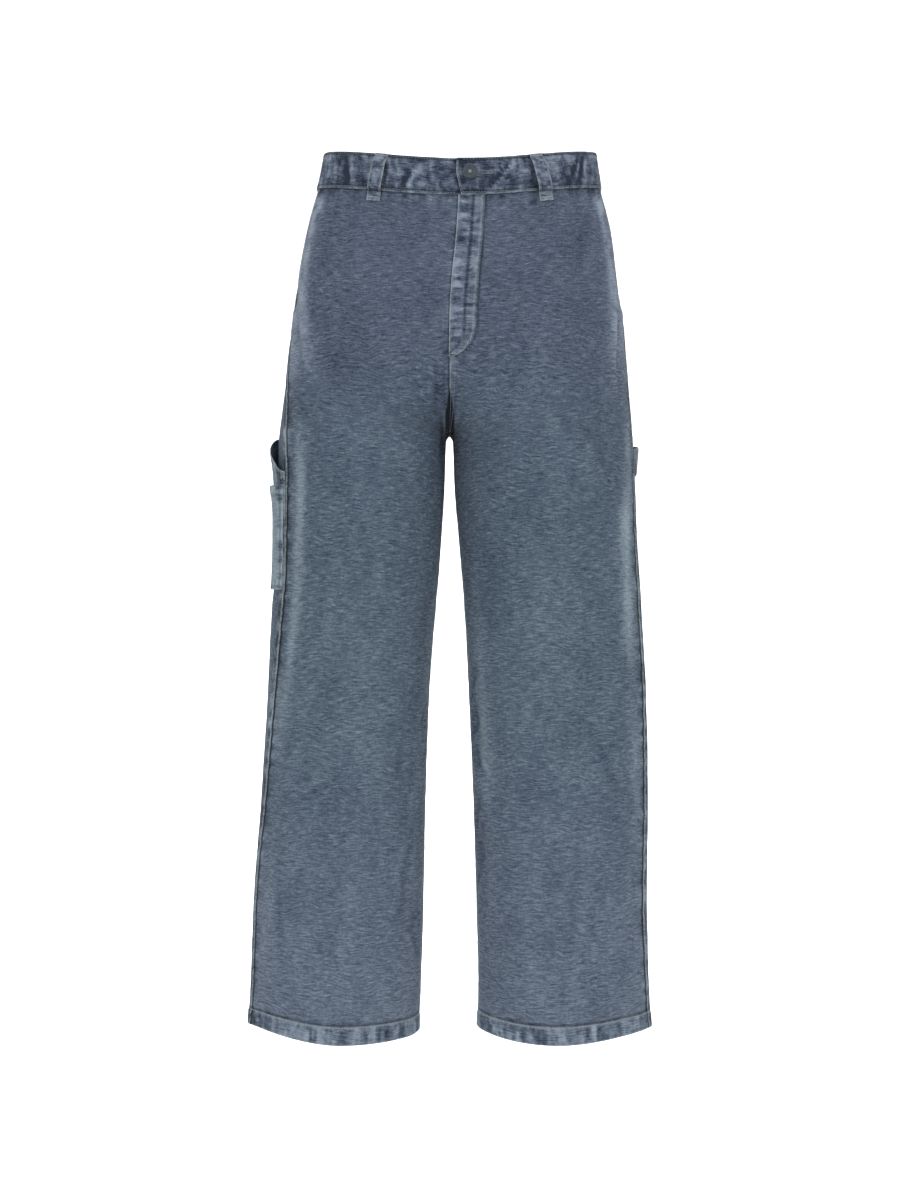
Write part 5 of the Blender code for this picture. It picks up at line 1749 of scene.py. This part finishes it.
def button_threads():
    """Thread crossed through the four holes."""
    place = button_place()
    runs = []
    for k in range(2):
        angle = math.radians(45 + 90 * k)
        ahead = Vector((math.cos(angle), math.sin(angle), 0.0))
        aside = Vector((-ahead.y, ahead.x, 0.0))
        for step in (-0.00036, 0.0, 0.00036):
            middle = place @ (aside * step + Vector((0, 0, 0.66 * BUTTON_THICK + 0.0002 * k)))
            turned = place.to_3x3()
            runs.append((
                np.array([middle[:]]), np.array([(turned @ ahead)[:]]),
                np.array([(turned @ Vector((0, 0, 1)))[:]]), np.array([0.62 * BUTTON_RADIUS]),
            ))
    return runs


# Settings, operators and panel

def length(name, description, default, low, high):
    return FloatProperty(
        name=name, description=description, default=default, min=low, max=high, unit="LENGTH"
    )


def colour(name, description, default):
    return FloatVectorProperty(
        name=name, description=description, subtype="COLOR", size=3, default=default, min=0, max=1
    )


class PantsSizes(bpy.types.PropertyGroup):
    """Sizes of the cloth and its sewing."""

    thickness: length("Canvas thickness", "How thick one layer is", 0.0013, 0.0005, 0.004)
    pucker: length("Pucker height", "How far the stitching draws the cloth up", 0.00048, 0.0, 0.002)
    stitch_pitch: length("Stitch spacing", "From one stitch to the next", 0.0034, 0.001, 0.01)
    stitch_length: length("Stitch length", "Visible length of one stitch", 0.0027, 0.0005, 0.01)
    thread: length("Thread thickness", "How thick the sewing thread is", 0.00074, 0.0001, 0.002)


class PantsLook(bpy.types.PropertyGroup):
    """Colours of the washed canvas, its thread and the button."""

    contrast: FloatProperty(
        name="Slub contrast", description="How much the uneven yarns and mottling show",
        default=1.70, min=0.0, max=5.0,
    )
    thread_pitch: length("Weave spacing", "From one yarn of the weave to the next", 0.00062, 0.0002, 0.003)
    # Deep takes dark slub and the painted shade of hollows and creases; pale takes rubbed ridges and
    # painted highlights.
    deep: colour("Deep", "Cloth in its hollows", (0.020, 0.030, 0.048))
    washed: colour("Washed", "Cloth on its flats", (0.084, 0.116, 0.158))
    pale: colour("Pale", "Cloth on its ridges", (0.285, 0.362, 0.412))
    rubbed: colour("Rubbed edge", "Cloth on worn folded edges", (0.360, 0.420, 0.460))
    # A near-black for painted shade and shadow lines, partly unfaded cloth in seams and grooves.
    shadow_and_unfaded: colour("Unfaded", "Cloth hidden from the wash", (0.006, 0.010, 0.015))
    violet: colour("Violet cast", "Multiplied in at the hips and shins", (1.00, 0.90, 1.00))
    thread: colour("Thread", "Sewing thread", (0.240, 0.290, 0.330))
    thread_dark: colour("Thread shade", "Sewing thread where it is dark", (0.100, 0.130, 0.165))
    button: colour("Button", "Resin of the button", (0.036, 0.052, 0.064))


class PantsStage(bpy.types.PropertyGroup):
    """The floor, lights and camera."""

    floor_z: FloatProperty(
        name="Floor height", description="How far below the band the floor lies",
        default=-1.30, unit="LENGTH",
    )
    sky: FloatProperty(
        name="Room light", description="Strength of the light from all round",
        default=0.585, min=0.0,
    )
    key: FloatProperty(
        name="Front light", description="Power of the large front lights",
        default=35.0, min=0.0, unit="POWER",
    )
    lens: FloatProperty(
        name="Lens", description="Focal length in millimetres", default=45.26, min=10.0, max=300.0
    )


class PANTS_OT_panels(bpy.types.Operator):
    """Sew both fronts and both backs"""

    bl_idname = "pants.panels"
    bl_label = "Fronts and backs"

    def execute(self, context):
        for side in (RIGHT, LEFT):
            make_front(side)
            make_back(side)
        return {"FINISHED"}


class PANTS_OT_pocket_facings(bpy.types.Operator):
    """Set a facing behind each slant pocket's mouth"""

    bl_idname = "pants.pocket_facings"
    bl_label = "Slant pocket facings"

    def execute(self, context):
        for side in (RIGHT, LEFT):
            make_pocket_facing(side)
        return {"FINISHED"}


class PANTS_OT_waistband(bpy.types.Operator):
    """Put the waistband on, lapped at the button"""

    bl_idname = "pants.waistband"
    bl_label = "Waistband"

    def execute(self, context):
        make_waistband()
        return {"FINISHED"}


class PANTS_OT_belt_loops(bpy.types.Operator):
    """Tack the five belt loops over the band"""

    bl_idname = "pants.belt_loops"
    bl_label = "Belt loops"

    def execute(self, context):
        for number, (name, arc_at, lean) in enumerate(BELT_LOOPS):
            make_belt_loop(name, arc_at, lean, 120 + number)
        return {"FINISHED"}


class PANTS_OT_fly(bpy.types.Operator):
    """Lay the fly's facing on the left front"""

    bl_idname = "pants.fly"
    bl_label = "Fly"

    def execute(self, context):
        make_fly()
        return {"FINISHED"}


class PANTS_OT_tool_pocket(bpy.types.Operator):
    """Sew the tool pocket and its slot on the right thigh"""

    bl_idname = "pants.tool_pocket"
    bl_label = "Tool pocket"

    def execute(self, context):
        make_tool_pocket()
        make_tool_slot()
        return {"FINISHED"}


class PANTS_OT_hammer_loop(bpy.types.Operator):
    """Sew the hammer loop on the left thigh"""

    bl_idname = "pants.hammer_loop"
    bl_label = "Hammer loop"

    def execute(self, context):
        make_hammer_loop()
        return {"FINISHED"}


class PANTS_OT_button(bpy.types.Operator):
    """Turn the button and drill its four holes"""

    bl_idname = "pants.button"
    bl_label = "Button"

    def execute(self, context):
        make_button()
        return {"FINISHED"}


class PANTS_OT_threads(bpy.types.Operator):
    """Stitch every seam, hem, edge and tack"""

    bl_idname = "pants.threads"
    bl_label = "Thread"

    def execute(self, context):
        look = context.scene.pants_look
        thick = settings().thread
        seam = thread_material("seam_thread", look.thread, look.thread_dark)
        tack_thread = thread_material("tack_thread", look.rubbed, look.thread)
        loops, loop_tacks = loop_threads()
        fly, fly_tacks = fly_threads()
        mouths, mouth_tacks = mouth_threads()
        tools, tool_tacks = tool_threads()
        make_threads("thread_seams", seam_threads(), thick, seam)
        make_threads("thread_hems", hem_threads(), 1.4 * thick, tack_thread)
        make_threads("thread_band", band_threads() + loops, thick, seam)
        make_threads("thread_fly_and_pockets", fly + mouths + tools, thick, seam)
        tacks = loop_tacks + fly_tacks + mouth_tacks + tool_tacks
        make_threads("thread_tacks", tacks, 0.8 * thick, tack_thread)
        make_threads("thread_buttonhole", buttonhole_threads(), 0.8 * thick, seam)
        make_threads("thread_button", button_threads(), 0.9 * thick, tack_thread)
        return {"FINISHED"}


class PANTS_OT_stage(bpy.types.Operator):
    """Set out the pale floor, the soft lights and the camera"""

    bl_idname = "pants.stage"
    bl_label = "Floor, lights and camera"

    def execute(self, context):
        stage = context.scene.pants_stage
        make_floor(stage.floor_z)
        make_lights(stage)
        make_camera(stage)
        context.scene.view_settings.view_transform = "Standard"
        return {"FINISHED"}


def make_floor(level):
    """A seamless sweep: a floor that curves up into a wall far behind."""
    bm = bmesh.new()
    radius, back = 1.6, 5.0
    line = [(-7.0, 0.0), (-2.0, 0.0), (back - radius, 0.0)]
    for angle in np.radians(range(6, 91, 6)):
        line += [(back - radius + radius * math.sin(angle), radius - radius * math.cos(angle))]
    line += [(back, 7.0)]
    corners = [bm.verts.new((-9.0, y, level + z)) for y, z in line]
    edges = [bm.edges.new(pair) for pair in zip(corners, corners[1:])]
    made = bmesh.ops.extrude_edge_only(bm, edges=edges)
    moved = [item for item in made["geom"] if isinstance(item, bmesh.types.BMVert)]
    bmesh.ops.translate(bm, verts=moved, vec=(18.0, 0.0, 0.0))
    bm.normal_update()
    if sum(face.normal.z - face.normal.y for face in bm.faces) < 0:
        bmesh.ops.reverse_faces(bm, faces=bm.faces)
    mesh = bpy.data.meshes.new("studio_floor")
    bm.to_mesh(mesh)
    bm.free()
    mesh.shade_smooth()
    made, tree, shader, place = new_material("floor_paper")
    grain = noise_node(tree, place, 3.0, 2.0)
    paper = mix_colour(tree, grain, (0.88, 0.88, 0.88), (0.92, 0.92, 0.92))
    tree.links.new(paper, shader.inputs["Base Color"])
    shader.inputs["Roughness"].default_value = 0.9
    mesh.materials.append(made)
    shown(mesh, "studio_floor")


def area_light(name, place, aim, size, power, spread=180):
    lamp = bpy.data.lights.new(name, "AREA")
    lamp.spread = math.radians(spread)
    lamp.shape = "RECTANGLE"
    lamp.size, lamp.size_y = size
    lamp.energy = power
    made = bpy.data.objects.new(name, lamp)
    made.location = place
    made.rotation_euler = (Vector(aim) - Vector(place)).to_track_quat("-Z", "Y").to_euler()
    bpy.context.scene.collection.objects.link(made)


def make_lights(stage):
    world = bpy.data.worlds.new("Soft room")
    world.use_nodes = True
    shade = world.node_tree.nodes["Background"]
    shade.inputs["Color"].default_value = (1.0, 1.0, 1.0, 1.0)
    shade.inputs["Strength"].default_value = stage.sky
    bpy.context.scene.world = world
    area_light("front_left_softbox", (-2.0, -3.0, 0.9), (0, 0, -0.5), (1.6, 2.4), stage.key)
    area_light("front_right_softbox", (2.3, -2.7, 0.4), (0, 0, -0.5), (1.6, 2.4), 0.75 * stage.key)
    area_light("overhead_softbox", (0.0, -0.4, 2.4), (0, 0, -0.5), (2.4, 2.4), 0.5 * stage.key)
    area_light("wall_light", (0.0, 1.6, 2.8), (0, 5.0, -0.2), (5.0, 1.4), 2.6 * stage.key, 100)
    area_light("floor_light", (0.0, 2.4, 2.4), (0, 2.6, -1.3), (5.0, 3.0), 3.0 * stage.key, 75)


def make_camera(stage):
    """At the photo's height and distance, level, looking straight at the front."""
    seen = bpy.data.cameras.new("photo_camera")
    seen.sensor_fit = "VERTICAL"
    seen.sensor_height = 24.0
    seen.lens = stage.lens
    made = bpy.data.objects.new("photo_camera", seen)
    made.location = CAMERA_PLACE
    made.rotation_euler = (math.pi / 2, 0.0, 0.0)
    bpy.context.scene.collection.objects.link(made)
    bpy.context.scene.camera = made


PIECE_OPERATORS = (
    PANTS_OT_stage,
    PANTS_OT_panels,
    PANTS_OT_pocket_facings,
    PANTS_OT_waistband,
    PANTS_OT_belt_loops,
    PANTS_OT_fly,
    PANTS_OT_tool_pocket,
    PANTS_OT_hammer_loop,
    PANTS_OT_button,
    PANTS_OT_threads,
)


class PANTS_PT_sidebar(bpy.types.Panel):
    """Lists the settings and what can be made"""

    bl_idname = "PANTS_PT_sidebar"
    bl_label = "Carpenter pants"
    bl_space_type = "VIEW_3D"
    bl_region_type = "UI"
    bl_category = "Pants"

    def draw(self, context):
        for group in (context.scene.pants_sizes, context.scene.pants_look, context.scene.pants_stage):
            box = self.layout.box()
            for name in group.__annotations__:
                box.prop(group, name)
        for operator in PIECE_OPERATORS:
            self.layout.operator(operator.bl_idname)


CLASSES = (PantsSizes, PantsLook, PantsStage, *PIECE_OPERATORS, PANTS_PT_sidebar)


def register():
    for made in CLASSES:
        bpy.utils.register_class(made)
    bpy.types.Scene.pants_sizes = PointerProperty(type=PantsSizes)
    bpy.types.Scene.pants_look = PointerProperty(type=PantsLook)
    bpy.types.Scene.pants_stage = PointerProperty(type=PantsStage)


def unregister():
    for name in ("pants_sizes", "pants_look", "pants_stage"):
        delattr(bpy.types.Scene, name)
    for made in reversed(CLASSES):
        bpy.utils.unregister_class(made)


def main():
    register()
    for operator in PIECE_OPERATORS:
        family, name = operator.bl_idname.split(".")
        getattr(getattr(bpy.ops, family), name)()


if __name__ == "__main__":
    main()
